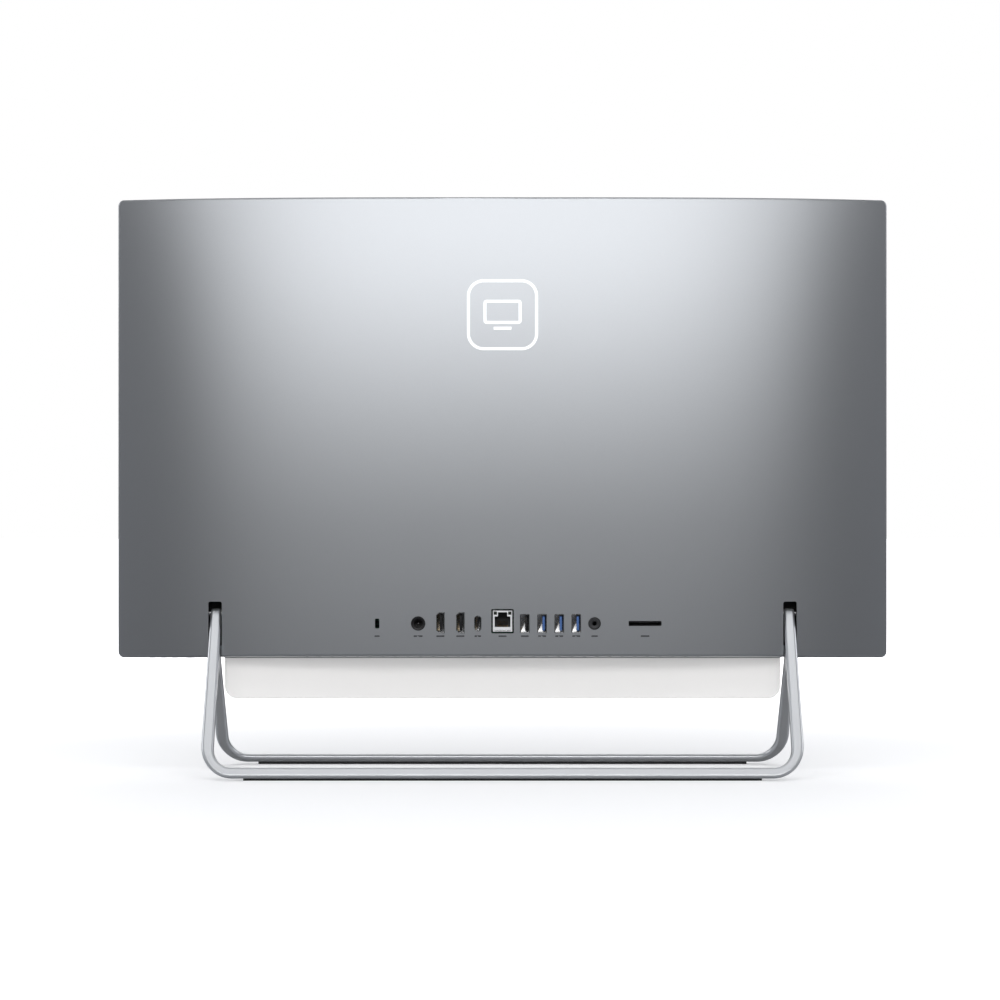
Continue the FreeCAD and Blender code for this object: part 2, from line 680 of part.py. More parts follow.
def rear_leg_frame():
    """Rear U-frame: a leaned slab whose leg ends are round about the hinge axis."""
    lean = math.radians(REAR_LEAN)
    down = vec(0, math.sin(lean), -math.cos(lean))
    across = vec(0, math.cos(lean), math.sin(lean))
    hinge = vec(0, HINGE_Y, HINGE_Z)
    length = 4 * FAR
    corners = [hinge + across * (FRAME_D / 2), hinge + across * (FRAME_D / 2) + down * length,
               hinge - across * (FRAME_D / 2) + down * length, hinge - across * (FRAME_D / 2)]
    edges = [Part.makeLine(corners[i], corners[i + 1]) for i in range(3)]
    edges.append(Part.Arc(corners[3], hinge - down * (FRAME_D / 2), corners[0]).toShape())
    slab = Part.Face(Part.Wire(edges)).extrude(vec(CASE_W, 0, 0))
    slab.translate(vec(-HALF_W, 0, 0))
    prism = u_outline(REAR_FOOT_Z, REAR_BAR_H, LEG_TOP_Z, REAR_LEG_W, REAR_TOP_X,
                      REAR_LEG_W - REAR_LEG_TAPER, REAR_BEND_INNER_R)
    frame = round_long_edges(one_solid(prism.common(slab)), across)
    frame = frame.cut(foot_strip(rear_bar_y(), REAR_FOOT_Z, SEAT))
    for side in (1, -1):
        x = side * (LEG_OUTER_X - REAR_LEG_W / 2)
        frame = frame.cut(rod_x(SHAFT_R + RUNNING, x - REAR_LEG_W, x + REAR_LEG_W, HINGE_Y, HINGE_Z))
    return one_solid(frame)


def front_leg_frame():
    """Front U-frame: a slab leaned the other way, with flat leg ends inside the case."""
    lean = math.radians(FRONT_LEAN)
    down = vec(0, -math.sin(lean), -math.cos(lean))
    across = vec(0, math.cos(lean), -math.sin(lean))
    start = vec(0, FRONT_LEG_Y, CASE_Z) - down * FAR
    length = 5 * FAR
    corners = [start + across * (FRAME_D / 2), start + across * (FRAME_D / 2) + down * length,
               start - across * (FRAME_D / 2) + down * length, start - across * (FRAME_D / 2)]
    slab = Part.Face(Part.makePolygon(corners + corners[:1])).extrude(vec(CASE_W, 0, 0))
    slab.translate(vec(-HALF_W, 0, 0))
    top_z = CASE_Z + FRONT_LEG_TOP
    prism = u_outline(FRONT_FOOT_Z, FRONT_BAR_H, top_z, FRONT_LEG_W, FRONT_TOP_X, FRONT_LEG_TOP_W,
                      FRONT_BEND_INNER_R)
    frame = round_long_edges(one_solid(prism.common(slab)), across)
    return one_solid(frame.cut(foot_strip(front_bar_y(), FRONT_FOOT_Z, SEAT)))


def web_span():
    """X range of the hinge bracket's web, which reaches past both cheeks."""
    reach = LINER_T + CHEEK_GAP + CHEEK_T + WEB_EAR
    return SLOT_INNER_X - reach, SLOT_OUTER_X + reach


def cheek_spans():
    inner = SLOT_INNER_X - LINER_T - CHEEK_GAP
    outer = SLOT_OUTER_X + LINER_T + CHEEK_GAP
    return [(inner - CHEEK_T, inner), (outer, outer + CHEEK_T)]


def hinge_bracket():
    """Steel yoke of the +X side: a web on the plate and two cheeks that carry the shaft."""
    x0, x1 = web_span()
    pieces = [box(x0, x1, PLATE_REAR, PLATE_REAR + WEB_T, HINGE_Z - WEB_H / 2, HINGE_Z + WEB_H / 2)]
    for c0, c1 in cheek_spans():
        pieces.append(box(c0, c1, PLATE_REAR, HINGE_Y, HINGE_Z - CHEEK_R, HINGE_Z + CHEEK_R))
        pieces.append(rod_x(CHEEK_R, c0, c1, HINGE_Y, HINGE_Z))
    bracket = fuse(pieces)
    bracket = bracket.cut(rod_x(SHAFT_R + RUNNING, x0, x1, HINGE_Y, HINGE_Z))
    for x, z in web_screw_places():
        bracket = bracket.cut(rod_y(SCREW_R + RUNNING, PLATE_Y, BOARD_Y, x, z))
    return one_solid(bracket)


def shaft_span():
    cheeks = cheek_spans()
    reach = RUNNING + WASHER_T + HEAD_T
    return cheeks[0][0] - reach, cheeks[1][1] + reach


def hinge_shafts():
    """Two shafts with riveted heads outside the friction washers."""
    x0, x1 = shaft_span()
    shaft = fuse([rod_x(SHAFT_R, x0, x1, HINGE_Y, HINGE_Z),
                  rod_x(HEAD_R, x0, x0 + HEAD_T, HINGE_Y, HINGE_Z),
                  rod_x(HEAD_R, x1 - HEAD_T, x1, HINGE_Y, HINGE_Z)])
    return Part.makeCompound([shaft, mirrored(shaft)])


def friction_washers():
    """Four washers on the shafts, between the cheeks and the riveted heads."""
    washers = []
    inner, outer = cheek_spans()
    for x in (inner[0] - RUNNING - WASHER_T, outer[1] + RUNNING):
        washer = rod_x(WASHER_R, x, x + WASHER_T, HINGE_Y, HINGE_Z)
        washer = washer.cut(rod_x(SHAFT_R + RUNNING / 2, x - 1, x + WASHER_T + 1, HINGE_Y, HINGE_Z))
        washers += [washer, mirrored(washer)]
    return Part.makeCompound(washers)


def slot_liner(inner):
    """Black channel of the +X side that closes the case behind the leg slot."""
    x0 = SLOT_INNER_X - LINER_T
    x1 = SLOT_OUTER_X + LINER_T
    cavity_y = LINER_Y + LINER_T
    step_z = anchor_z()[0] + ANCHOR_H + SEAT
    upper = box(x0, x1, LINER_Y, FAR, step_z, SLOT_TOP_Z + LINER_T)
    lower = box(x0, x1, cavity_y + SEAT, FAR, CASE_Z, step_z)
    liner = upper.fuse(lower).cut(box(SLOT_INNER_X, SLOT_OUTER_X, cavity_y, FAR, CASE_Z - 1, SLOT_TOP_Z))
    liner = liner.common(inner)
    liner = liner.cut(rod_x(LINER_HOLE_R, x0 - 1, x1 + 1, HINGE_Y, HINGE_Z))
    return one_solid(liner.removeSplitter())


def anchor_z():
    return CASE_Z + FRONT_LEG_TOP + SEAT, CASE_Z + FRONT_LEG_TOP + SEAT + ANCHOR_H


def leg_anchor():
    """Block of the +X side that the front leg's end is screwed to."""
    z0, z1 = anchor_z()
    x0 = SLOT_INNER_X - ANCHOR_EAR
    x1 = SLOT_OUTER_X + ANCHOR_EAR
    block = box(x0, x1, PLATE_REAR, PLATE_REAR + ANCHOR_D, z0, z1)
    leg_inner = FRONT_TOP_X - FRONT_LEG_TOP_W
    slope = UNDERSIDE_RISE / BULGE_LOW
    shoe_z = CASE_Z + COVER_T + slope * (PLATE_REAR + ANCHOR_D - EDGE_Y) + FIT
    shoe = box(x0, leg_inner - 2 * FIT, PLATE_REAR, PLATE_REAR + ANCHOR_D, shoe_z, z0)
    block = fuse([block, shoe])
    for x, z in anchor_screw_places():
        block = block.cut(rod_y(SCREW_R + RUNNING, PLATE_Y, BOARD_Y, x, z))
    return one_solid(block)


def screw(x, z, y_head, length):
    """Screw driven towards -Y whose head sits at y_head."""
    head = rod_y(SCREW_HEAD_R, y_head, y_head + SCREW_HEAD_T, x, z)
    shank = rod_y(SCREW_R, y_head - length, y_head, x, z)
    drive = rod_y(SCREW_DRIVE_R, y_head + SCREW_HEAD_T / 2, y_head + SCREW_HEAD_T, x, z)
    return head.fuse(shank).cut(drive)


def stand_screws():
    screws = []
    for x, z in web_screw_places():
        screws.append(screw(x, z, PLATE_REAR + WEB_T, WEB_T + PLATE_T))
    for x, z in anchor_screw_places():
        screws.append(screw(x, z, PLATE_REAR + ANCHOR_D, ANCHOR_D + PLATE_T))
    return Part.makeCompound(screws + [mirrored(s) for s in screws])


def chassis_screws():
    """Screws of the steel plate and of the main board."""
    screws = [screw(x, z, PLATE_REAR, PLATE_T) for x, z in plate_screw_places()]
    screws += [screw(x, z, BOARD_REAR, BOARD_T + STANDOFF_THREAD) for x, z in standoff_places()]
    return Part.makeCompound(screws)


# ---------------------------------------------------------------- loudspeaker bar

def bar_block(inset, y0, y1):
    """Bar outline with rounded lower corners."""
    half = BAR_W / 2 - inset
    block = box(-half, half, y0, y1, CASE_Z - BAR_H + inset, CASE_Z)
    low = [e for e in edges_along(block, vec(0, 1, 0)) if e.CenterOfMass.z < CASE_Z - BAR_H / 2]
    return block.makeFillet(BAR_CORNER_R - inset, low)


def soundbar_housing():
    y0 = BAR_Y + GRILLE_T + SEAT
    y1 = BAR_Y + BAR_D
    body = bar_block(0, y0, y1)
    rear = []
    for edge in body.Edges:
        box_e = edge.BoundBox
        at_rear = box_e.YMin > y1 - SEAT
        if at_rear and box_e.ZMax < CASE_Z + SEAT and box_e.ZMin < CASE_Z - SEAT:
            rear.append(edge)
    body = body.makeFillet(BAR_REAR_R, rear)
    hollow = bar_block(BAR_T, y0 - 1, y1 - BAR_T)
    hollow = hollow.common(box(-BAR_W, BAR_W, 0, FAR, 0, CASE_Z - BAR_T))
    return one_solid(body.cut(hollow))


def soundbar_grille():
    plate = bar_block(0, BAR_Y, BAR_Y + GRILLE_T)
    cuts = []
    z_low = CASE_Z - BAR_H / 2 - SPEAKER_H / 2 + GRILLE_END
    z_high = z_low + SPEAKER_H - 2 * GRILLE_END
    for side in (1, -1):
        for i in range(GRILLE_SLOTS):
            x = side * SPEAKER_X + GRILLE_PITCH * (i - (GRILLE_SLOTS - 1) / 2)
            cuts.append(box(x - GRILLE_SLOT_W / 2, x + GRILLE_SLOT_W / 2, 0, SEAM_Y, z_low, z_high))
    return one_solid(plate.cut(Part.makeCompound(cuts)))


def speaker(side):
    """Two-cone loudspeaker unit with its frame and magnets."""
    y0 = BAR_Y + GRILLE_T + 2 * SEAT
    z = CASE_Z - BAR_H / 2
    x = side * SPEAKER_X
    frame = box(x - SPEAKER_W / 2, x + SPEAKER_W / 2, y0, y0 + SPEAKER_D, z - SPEAKER_H / 2,
                z + SPEAKER_H / 2)
    for offset in (-SPEAKER_W / 4, SPEAKER_W / 4):
        frame = frame.fuse(rod_y(MAGNET_R, y0 + SPEAKER_D, y0 + SPEAKER_D + MAGNET_T, x + offset, z))
        cone = Part.makeCone(CONE_R, CONE_R / 2, CONE_D, vec(x + offset, y0, z), vec(0, 1, 0))
        frame = frame.cut(cone)
    return one_solid(frame)


# ---------------------------------------------------------------- electronics

def system_board():
    board = box(BOARD_X[0], BOARD_X[1], BOARD_Y, BOARD_REAR, BOARD_Z[0], BOARD_Z[1])
    for x, z in standoff_places():
        board = board.cut(rod_y(SCREW_R + SEAT, BOARD_Y - 1, BOARD_REAR + 1, x, z))
    return board


def board_standoffs():
    posts = []
    for x, z in standoff_places():
        post = rod_y(STANDOFF_R, PLATE_REAR, BOARD_Y, x, z)
        posts.append(post.cut(rod_y(SCREW_R + RUNNING, BOARD_Y - STANDOFF_BORE, BOARD_Y + 1, x, z)))
    return Part.makeCompound(posts)


def socket_face(x, z):
    return back_y(x, z) - PORT_RECESS


def boxed_socket(x, w, h, tongue_shift, tongue_h):
    """Metal-cased upright socket with a contact tongue inside."""
    face = socket_face(x, PORT_Z)
    outer = upright_slot(x, PORT_Z, w - 2 * SEAT, h - 2 * SEAT, BOARD_REAR, face, PORT_CORNER_R)
    cavity = upright_slot(x, PORT_Z, w - 2 * PORT_WALL, h - 2 * PORT_WALL, face - PORT_DEPTH, face + 1,
                          PORT_INNER_R)
    tongue_x = x + tongue_shift
    tongue = box(tongue_x - TONGUE_T / 2, tongue_x + TONGUE_T / 2, face - PORT_DEPTH - 1, face - TONGUE_INSET,
                 PORT_Z - tongue_h / 2, PORT_Z + tongue_h / 2)
    return one_solid(outer.cut(cavity).fuse(tongue).removeSplitter())


def usb_port(x):
    return boxed_socket(x, USB_W, USB_H, -USB_TONGUE_SHIFT, USB_H - TONGUE_SHORT)


def usb_c_port():
    face = socket_face(USBC_X, PORT_Z)
    r = USBC_W / 2 - 2 * SEAT
    outer = upright_slot(USBC_X, PORT_Z, USBC_W - 2 * SEAT, USBC_H - 2 * SEAT, BOARD_REAR, face, r)
    w = USBC_W - 2 * PORT_WALL
    h = USBC_H - 2 * PORT_WALL
    cavity = upright_slot(USBC_X, PORT_Z, w, h, face - PORT_DEPTH, face + 1, w / 2 - SEAT)
    tongue = box(USBC_X - USBC_TONGUE_T / 2, USBC_X + USBC_TONGUE_T / 2, face - PORT_DEPTH - 1,
                 face - TONGUE_INSET, PORT_Z - h / 3, PORT_Z + h / 3)
    return one_solid(outer.cut(cavity).fuse(tongue).removeSplitter())


def hdmi_port(x):
    face = socket_face(x, PORT_Z)
    outer = hdmi_outline(x, BOARD_REAR, face, -SEAT)
    cavity = hdmi_outline(x, face - PORT_DEPTH, face + 1, -PORT_WALL)
    tongue = box(x - TONGUE_T / 2, x + TONGUE_T / 2, face - PORT_DEPTH - 1, face - TONGUE_INSET,
                 HDMI_Z - HDMI_H / 3, HDMI_Z + HDMI_H / 3)
    return one_solid(outer.cut(cavity).fuse(tongue).removeSplitter())


def plug_z():
    low = NETWORK_Z - NETWORK_H / 2 + LEDGE_BELOW_PLUG
    return low, low + PLUG_H


def network_port():
    face = socket_face(0, NETWORK_Z)
    half = NETWORK_W / 2 - NETWORK_GAP
    tall = NETWORK_H / 2 - NETWORK_GAP
    body = rounded_block(-half, half, BOARD_REAR, face, NETWORK_Z - tall, NETWORK_Z + tall,
                         NETWORK_FACE_R)
    z0, z1 = plug_z()
    cavity = box(-PLUG_W / 2, PLUG_W / 2, face - PLUG_DEPTH, face + 1, z0, z1)
    latch = box(-LATCH_W / 2, LATCH_W / 2, face - PLUG_DEPTH, face + 1, z1 - SEAT, z1 + LATCH_H)
    return one_solid(body.cut(cavity.fuse(latch)))


def power_jack():
    face = socket_face(POWER_X, PORT_Z)
    body = rod_y(POWER_D / 2 - SEAT, BOARD_REAR, face, POWER_X, PORT_Z)
    body = body.cut(rod_y(POWER_BORE_D / 2, face - PORT_DEPTH, face + 1, POWER_X, PORT_Z))
    pin = rod_y(POWER_PIN_D / 2, face - PORT_DEPTH - 1, face - 2 * TONGUE_INSET, POWER_X, PORT_Z)
    return one_solid(body.fuse(pin).removeSplitter())


def headphone_jack():
    face = socket_face(HEADPHONE_X, PORT_Z)
    body = rod_y(HEADPHONE_D / 2 - SEAT, BOARD_REAR, face, HEADPHONE_X, PORT_Z)
    return body.cut(rod_y(HEADPHONE_BORE_D / 2, face - HEADPHONE_DEPTH, face + 1, HEADPHONE_X, PORT_Z))


def card_reader():
    face = socket_face(CARD_X, PORT_Z)
    body = upright_slot(CARD_X, PORT_Z, CARD_W - 2 * SEAT, CARD_H - 2 * SEAT, BOARD_REAR, face, PORT_CORNER_R)
    mouth_w = CARD_W / 2 - PORT_WALL
    mouth_h = CARD_H / 2 - PORT_WALL
    return body.cut(box(CARD_X - mouth_w, CARD_X + mouth_w, face - CARD_DEPTH, face + 1, PORT_Z - mouth_h,
                        PORT_Z + mouth_h))


def lock_plate(inner):
    """Steel plate behind the security slot, with the same slot in it."""
    face = back_y(LOCK_X, PORT_Z) - COVER_T - SEAT
    half = LOCK_PLATE / 2
    plate = box(LOCK_X - half, LOCK_X + half, face - LOCK_PLATE_T, face, PORT_Z - half, PORT_Z + half)
    foot = box(LOCK_X - half, LOCK_X + half, BOARD_REAR, face - LOCK_PLATE_T / 2, PORT_Z + half - LOCK_FOOT_T,
               PORT_Z + half)
    plate = fuse([plate, foot])
    slot = upright_slot(LOCK_X, PORT_Z, LOCK_W, LOCK_H, BOARD_REAR - 1, FAR, LOCK_CORNER_R)
    return one_solid(plate.cut(slot).common(inner))


def board_block(x, z, w, h, t):
    """Plain component standing on the rear face of the board."""
    return box(x, x + w, BOARD_REAR, BOARD_REAR + t, z, z + h)


def module(x, z, w, h, t, chips):
    """Small circuit board in a raised connector, with a row of chips on it."""
    connector = board_block(x, z, w, MODULE_SOCKET_H, t)
    card_y = BOARD_REAR + t - CHIP_T
    card = box(x, x + w, card_y - MODULE_CARD_T, card_y, z + MODULE_SOCKET_H - SEAT, z + h)
    pieces = [connector, card]
    pitch = w / chips
    for i in range(chips):
        x0 = x + pitch * (i + (1 - CHIP_SHARE) / 2)
        x1 = x0 + pitch * CHIP_SHARE
        pieces.append(box(x0, x1, card_y, card_y + CHIP_T, z + CHIP_LOW, z + h - CHIP_TOP))
    return fuse(pieces)


def processor():
    half = CPU_W / 2
    return box(CPU_X - half, CPU_X + half, BOARD_Y - CPU_T, BOARD_Y, CPU_Z - half, CPU_Z + half)


def cold_plate():
    half = COLD_PLATE_W / 2
    y1 = BOARD_Y - CPU_T
    return box(CPU_X - half, CPU_X + half, y1 - COLD_PLATE_T, y1, CPU_Z - half, CPU_Z + half)


def pipe_y():
    return BOARD_Y - CPU_T - COLD_PLATE_T - PIPE_R


def fin_z():
    return FAN_Z + FAN_W / 2 + 2 * FIT, FAN_Z + FAN_W / 2 + 2 * FIT + FIN_H


def heat_pipe(offset):
    """Pipe from the cold plate sideways, up past the fan and sideways under the fins."""
    y = pipe_y()
    z_low = CPU_Z - offset
    riser = PIPE_RISER_X + offset
    z_high = (fin_z()[0] + fin_z()[1]) / 2 + offset / 2
    r = PIPE_BEND_R
    k = r * (1 - math.sqrt(0.5))
    start = vec(CPU_X - COLD_PLATE_W / 2 + PIPE_TUCK, y, z_low)
    low_bend = [vec(riser - r, y, z_low), vec(riser - k, y, z_low + k), vec(riser, y, z_low + r)]
    high_bend = [vec(riser, y, z_high - r), vec(riser + k, y, z_high - k), vec(riser + r, y, z_high)]
    path = [Part.makeLine(start, low_bend[0]), Part.Arc(*low_bend).toShape(),
            Part.makeLine(low_bend[2], high_bend[0]), Part.Arc(*high_bend).toShape(),
            Part.makeLine(high_bend[2], vec(FIN_X[1] - PIPE_TUCK, y, z_high))]
    section = Part.Wire([Part.makeCircle(PIPE_R, start, vec(1, 0, 0))])
    return Part.Wire(path).makePipeShell([section], True, True)


def heat_pipes():
    return Part.makeCompound([heat_pipe(-PIPE_GAP / 2), heat_pipe(PIPE_GAP / 2)])


def heat_sink_fins():
    y0 = pipe_y() + PIPE_R
    z0, z1 = fin_z()
    pieces = [box(FIN_X[0], FIN_X[1], y0, y0 + FIN_BASE_T, z0, z1)]
    count = int((FIN_X[1] - FIN_X[0] - FIN_T) / FIN_PITCH) + 1
    for i in range(count):
        x = FIN_X[0] + FIN_PITCH * i
        pieces.append(box(x, x + FIN_T, y0, y0 + FIN_D, z0, z1))
    return fuse(pieces)


def fan_housing():
    """Flat blower case, open at the top, with a pin for the impeller and four feet."""
    half = FAN_W / 2
    x0 = FAN_X - half
    x1 = FAN_X + half
    y1 = FAN_Y + FAN_D
    body = rounded_block(x0, x1, FAN_Y, y1, FAN_Z - half, FAN_Z + half, FAN_CORNER_R)
    cavity = rod_y(FAN_CAVITY_R, FAN_Y + FAN_T, y1 - FAN_T, FAN_X, FAN_Z)
    outlet = box(x0 + 2 * FAN_T, x1 - 2 * FAN_T, FAN_Y + FAN_T, y1 - FAN_T, FAN_Z, FAN_Z + half + 1)
    inlet = rod_y(FAN_INLET_R, y1 - 2 * FAN_T, y1 + 1, FAN_X, FAN_Z)
    body = body.cut(Part.makeCompound([cavity, outlet, inlet]))
    pieces = [body, rod_y(FAN_PIN_R, FAN_Y, FAN_Y + FAN_D / 2, FAN_X, FAN_Z)]
    for x in (FAN_X - FAN_FOOT_X, FAN_X + FAN_FOOT_X):
        for z in FAN_FOOT_Z:
            pieces.append(rod_y(FAN_FOOT_R, PLATE_REAR, FAN_Y, x, FAN_Z + z))
    return one_solid(fuse(pieces))


def fan_impeller():
    y0 = FAN_Y + FAN_T + IMPELLER_GAP
    y1 = y0 + IMPELLER_D
    hub = rod_y(HUB_R, y0, y1, FAN_X, FAN_Z)
    pieces = [hub, rod_y(IMPELLER_R, y0, y0 + IMPELLER_DISC_T, FAN_X, FAN_Z)]
    for i in range(BLADE_COUNT):
        blade = box(HUB_R - BLADE_ROOT, IMPELLER_R - BLADE_TIP_GAP, y0, y1, -BLADE_T / 2, BLADE_T / 2)
        blade.rotate(vec(HUB_R, 0, 0), vec(0, 1, 0), BLADE_ANGLE)
        blade.rotate(vec(0, 0, 0), vec(0, 1, 0), 360.0 * i / BLADE_COUNT)
        blade.translate(vec(FAN_X, 0, FAN_Z))
        pieces.append(blade)
    rotor = fuse(pieces)
    bore = rod_y(FAN_PIN_R + RUNNING, y0 - 1, FAN_Y + FAN_D / 2 + FIT, FAN_X, FAN_Z)
    return one_solid(rotor.cut(bore))


def coin_cell():
    return rod_y(CELL_R, BOARD_REAR, BOARD_REAR + CELL_T, CELL_X, CELL_Z)


def drive_y():
    return PLATE_REAR + CADDY_T + SEAT


def drive_caddy():
    """Sheet tray with two side walls that the disk drive lies in."""
    x1 = DRIVE_X + DRIVE_W
    gap = 2 * FIT
    y0 = PLATE_REAR
    tray = box(DRIVE_X - gap - CADDY_T, x1 + gap + CADDY_T, y0, y0 + CADDY_T, DRIVE_Z, DRIVE_Z + DRIVE_H)
    left = box(DRIVE_X - gap - CADDY_T, DRIVE_X - gap, y0, y0 + DRIVE_T, DRIVE_Z, DRIVE_Z + DRIVE_H)
    right = box(x1 + gap, x1 + gap + CADDY_T, y0, y0 + DRIVE_T, DRIVE_Z, DRIVE_Z + DRIVE_H)
    return fuse([tray, left, right])


def hard_drive():
    y0 = drive_y()
    return rounded_block(DRIVE_X, DRIVE_X + DRIVE_W, y0, y0 + DRIVE_T, DRIVE_Z, DRIVE_Z + DRIVE_H,
                         DRIVE_CORNER_R)


def antennas():
    strips = []
    for side in (1, -1):
        x = side * ANTENNA_X
        strips.append(box(x - ANTENNA_W / 2, x + ANTENNA_W / 2, PLATE_REAR, PLATE_REAR + ANTENNA_T,
                          PLATE_Z[1] - ANTENNA_H - ANTENNA_DROP, PLATE_Z[1] - ANTENNA_DROP))
    return Part.makeCompound(strips)


# ---------------------------------------------------------------- camera and buttons

def lens_rod(r, extra):
    y0 = CAMERA_Y
    return rod_y(r, y0 - extra, y0 + LENS_T, 0, CASE_TOP - LENS_DROP)


def camera_housing():
    body = box(-CAMERA_W / 2, CAMERA_W / 2, CAMERA_Y, CAMERA_Y + CAMERA_D, CASE_TOP - CAMERA_H, CASE_TOP)
    body = body.makeFillet(CAMERA_EDGE_R, edges_along(body, vec(0, 0, 1)))
    return one_solid(body.cut(lens_rod(LENS_R + SEAT / 2, 1)))


def camera_lens():
    return lens_rod(LENS_R, 0)


def camera_guide():
    """Sleeve around the camera, fixed to the plate."""
    x = CAMERA_W / 2 + FIT
    z1 = CASE_TOP - COVER_T - FIT
    outer = box(-x - GUIDE_T, x + GUIDE_T, PLATE_REAR, CAMERA_Y + CAMERA_D + FIT + GUIDE_T, z1 - GUIDE_H, z1)
    return outer.cut(box(-x, x, CAMERA_Y - FIT, CAMERA_Y + CAMERA_D + FIT, z1 - GUIDE_H - 1, z1 + 1))


def button(x, r):
    """Round key whose flange stays inside the underside's wall."""
    z0 = CASE_Z + SEAT
    flange_z = CASE_Z + COVER_T + 2 * FIT
    stem = rod_z(r, z0, z0 + BUTTON_H, x, BUTTON_Y)
    flange = rod_z(r + BUTTON_FLANGE, flange_z, flange_z + BUTTON_FLANGE_T, x, BUTTON_Y)
    return stem.fuse(flange).removeSplitter()


def button_board():
    """Strip of circuit board over the keys, with one small switch per key."""
    z = CASE_Z + SEAT + BUTTON_H + BUTTON_TRAVEL + SEAT
    x0 = POWER_BUTTON_X - POWER_BUTTON_R
    x1 = BUTTON_X[-1] + 2 * BUTTON_R
    board_z = z + SWITCH_T
    pieces = [box(x0, x1, PLATE_REAR + SEAT, BUTTON_Y + POWER_BUTTON_R, board_z, board_z + BUTTON_BOARD_T)]
    half = SWITCH_W / 2
    for x, r in button_places():
        pieces.append(box(x - half, x + half, BUTTON_Y - half, BUTTON_Y + half, z, board_z))
    return one_solid(fuse(pieces))


# ---------------------------------------------------------------- assembly

def build():
    inner = case_solid(COVER_T, SEAM_Y - 1, -COVER_T)
    seated = case_solid(COVER_T + SEAT, SEAM_Y - 1, -COVER_T - SEAT)
    parts = {
        "back_cover": back_cover(inner),
        "emblem_badge": emblem_badge(),
        "middle_frame": middle_frame(),
        "front_glass": front_glass(),
        "lcd_panel": lcd_panel(),
        "base_plate": base_plate(),
        "chassis_screws": chassis_screws(),
        "rear_leg_frame": rear_leg_frame(),
        "rear_foot_strip": foot_strip(rear_bar_y(), REAR_FOOT_Z, 0),
        "front_leg_frame": front_leg_frame(),
        "front_foot_strip": foot_strip(front_bar_y(), FRONT_FOOT_Z, 0),
        "hinge_shafts": hinge_shafts(),
        "friction_washers": friction_washers(),
        "stand_screws": stand_screws(),
        "soundbar_housing": soundbar_housing(),
        "soundbar_grille": soundbar_grille(),
        "system_board": system_board(),
        "board_standoffs": board_standoffs(),
        "processor": processor(),
        "cold_plate": cold_plate(),
        "heat_pipes": heat_pipes(),
        "heat_sink_fins": heat_sink_fins(),
        "fan_housing": fan_housing(),
        "fan_impeller": fan_impeller(),
        "solid_state_drive": module(SSD_X, SSD_Z, SSD_W, SSD_H, SSD_T, 3),
        "wireless_card": module(CARD_RADIO_X, CARD_RADIO_Z, CARD_RADIO_W, CARD_RADIO_H, SSD_T, 1),
        "coin_cell": coin_cell(),
        "hard_drive": hard_drive(),
        "drive_caddy": drive_caddy(),
        "antennas": antennas(),
        "security_lock_plate": lock_plate(seated),
        "power_jack": power_jack(),
        "hdmi_in_port": hdmi_port(HDMI_X[0]),
        "hdmi_out_port": hdmi_port(HDMI_X[1]),
        "usb_c_port": usb_c_port(),
        "network_port": network_port(),
        "usb2_port": usb_port(USB2_X),
        "headphone_jack": headphone_jack(),
        "card_reader": card_reader(),
        "camera_housing": camera_housing(),
        "camera_lens": camera_lens(),
        "camera_guide": camera_guide(),
        "button_board": button_board(),
        "power_button": button(POWER_BUTTON_X, POWER_BUTTON_R),
    }
    for i, x in enumerate(USB3_X):
        parts["usb3_port_%d" % (i + 1)] = usb_port(x)
    for i, z in enumerate(MEMORY_Z):
        parts["memory_module_%d" % (i + 1)] = module(MEMORY_X, z, MEMORY_W, MEMORY_H, MEMORY_T, 4)
    for name, x in zip(("input_button", "brightness_down_button", "brightness_up_button"), BUTTON_X):
        parts[name] = button(x, BUTTON_R)
    for side, label in ((1, "left"), (-1, "right")):
        parts["speaker_" + label] = speaker(side)
    for label, piece in (("hinge_bracket", hinge_bracket()), ("slot_liner", slot_liner(seated)),
                         ("leg_anchor", leg_anchor())):
        parts[label + "_left"] = piece
        parts[label + "_right"] = mirrored(piece)
    return parts


parts = build()
stand = [parts[name].optimalBoundingBox() for name in ("rear_leg_frame", "front_leg_frame")]
middle_y = (max(b.YMax for b in stand) + min(b.YMin for b in stand)) / 2
os.makedirs("parts", exist_ok=True)
for name, shape in parts.items():
    shape = shape.copy()
    shape.translate(vec(0, -middle_y, 0))
    shape.exportStep("parts/" + name + ".step")
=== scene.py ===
import math

import bmesh
import bpy
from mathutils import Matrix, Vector


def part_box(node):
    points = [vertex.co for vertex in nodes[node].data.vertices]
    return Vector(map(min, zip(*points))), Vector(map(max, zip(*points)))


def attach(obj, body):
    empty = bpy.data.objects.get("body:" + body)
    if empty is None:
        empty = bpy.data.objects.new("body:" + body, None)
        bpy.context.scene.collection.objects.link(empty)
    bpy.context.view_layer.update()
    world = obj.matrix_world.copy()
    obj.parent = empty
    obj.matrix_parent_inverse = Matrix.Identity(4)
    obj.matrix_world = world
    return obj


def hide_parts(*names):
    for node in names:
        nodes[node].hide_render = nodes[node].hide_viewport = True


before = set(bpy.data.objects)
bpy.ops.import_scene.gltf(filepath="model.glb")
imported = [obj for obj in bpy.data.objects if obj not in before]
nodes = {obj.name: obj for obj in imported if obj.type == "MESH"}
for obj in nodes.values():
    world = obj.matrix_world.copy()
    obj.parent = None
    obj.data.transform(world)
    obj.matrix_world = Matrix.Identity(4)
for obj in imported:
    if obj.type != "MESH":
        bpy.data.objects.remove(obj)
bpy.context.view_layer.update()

# The camera. It looks at the back of the computer from straight behind, level with the lower
# third of the case, and from far enough away that the two leg frames look nearly flat.
RIM_DEPTH = 0.013             # from the front of the glass to the rear edge of the side walls
VIEW_DISTANCE = 2.5           # from that edge to the camera
VIEW_ASIDE = 0.002
VIEW_HEIGHT = 0.2169
LENS_MM = 112.75
SENSOR_MM = 36.0
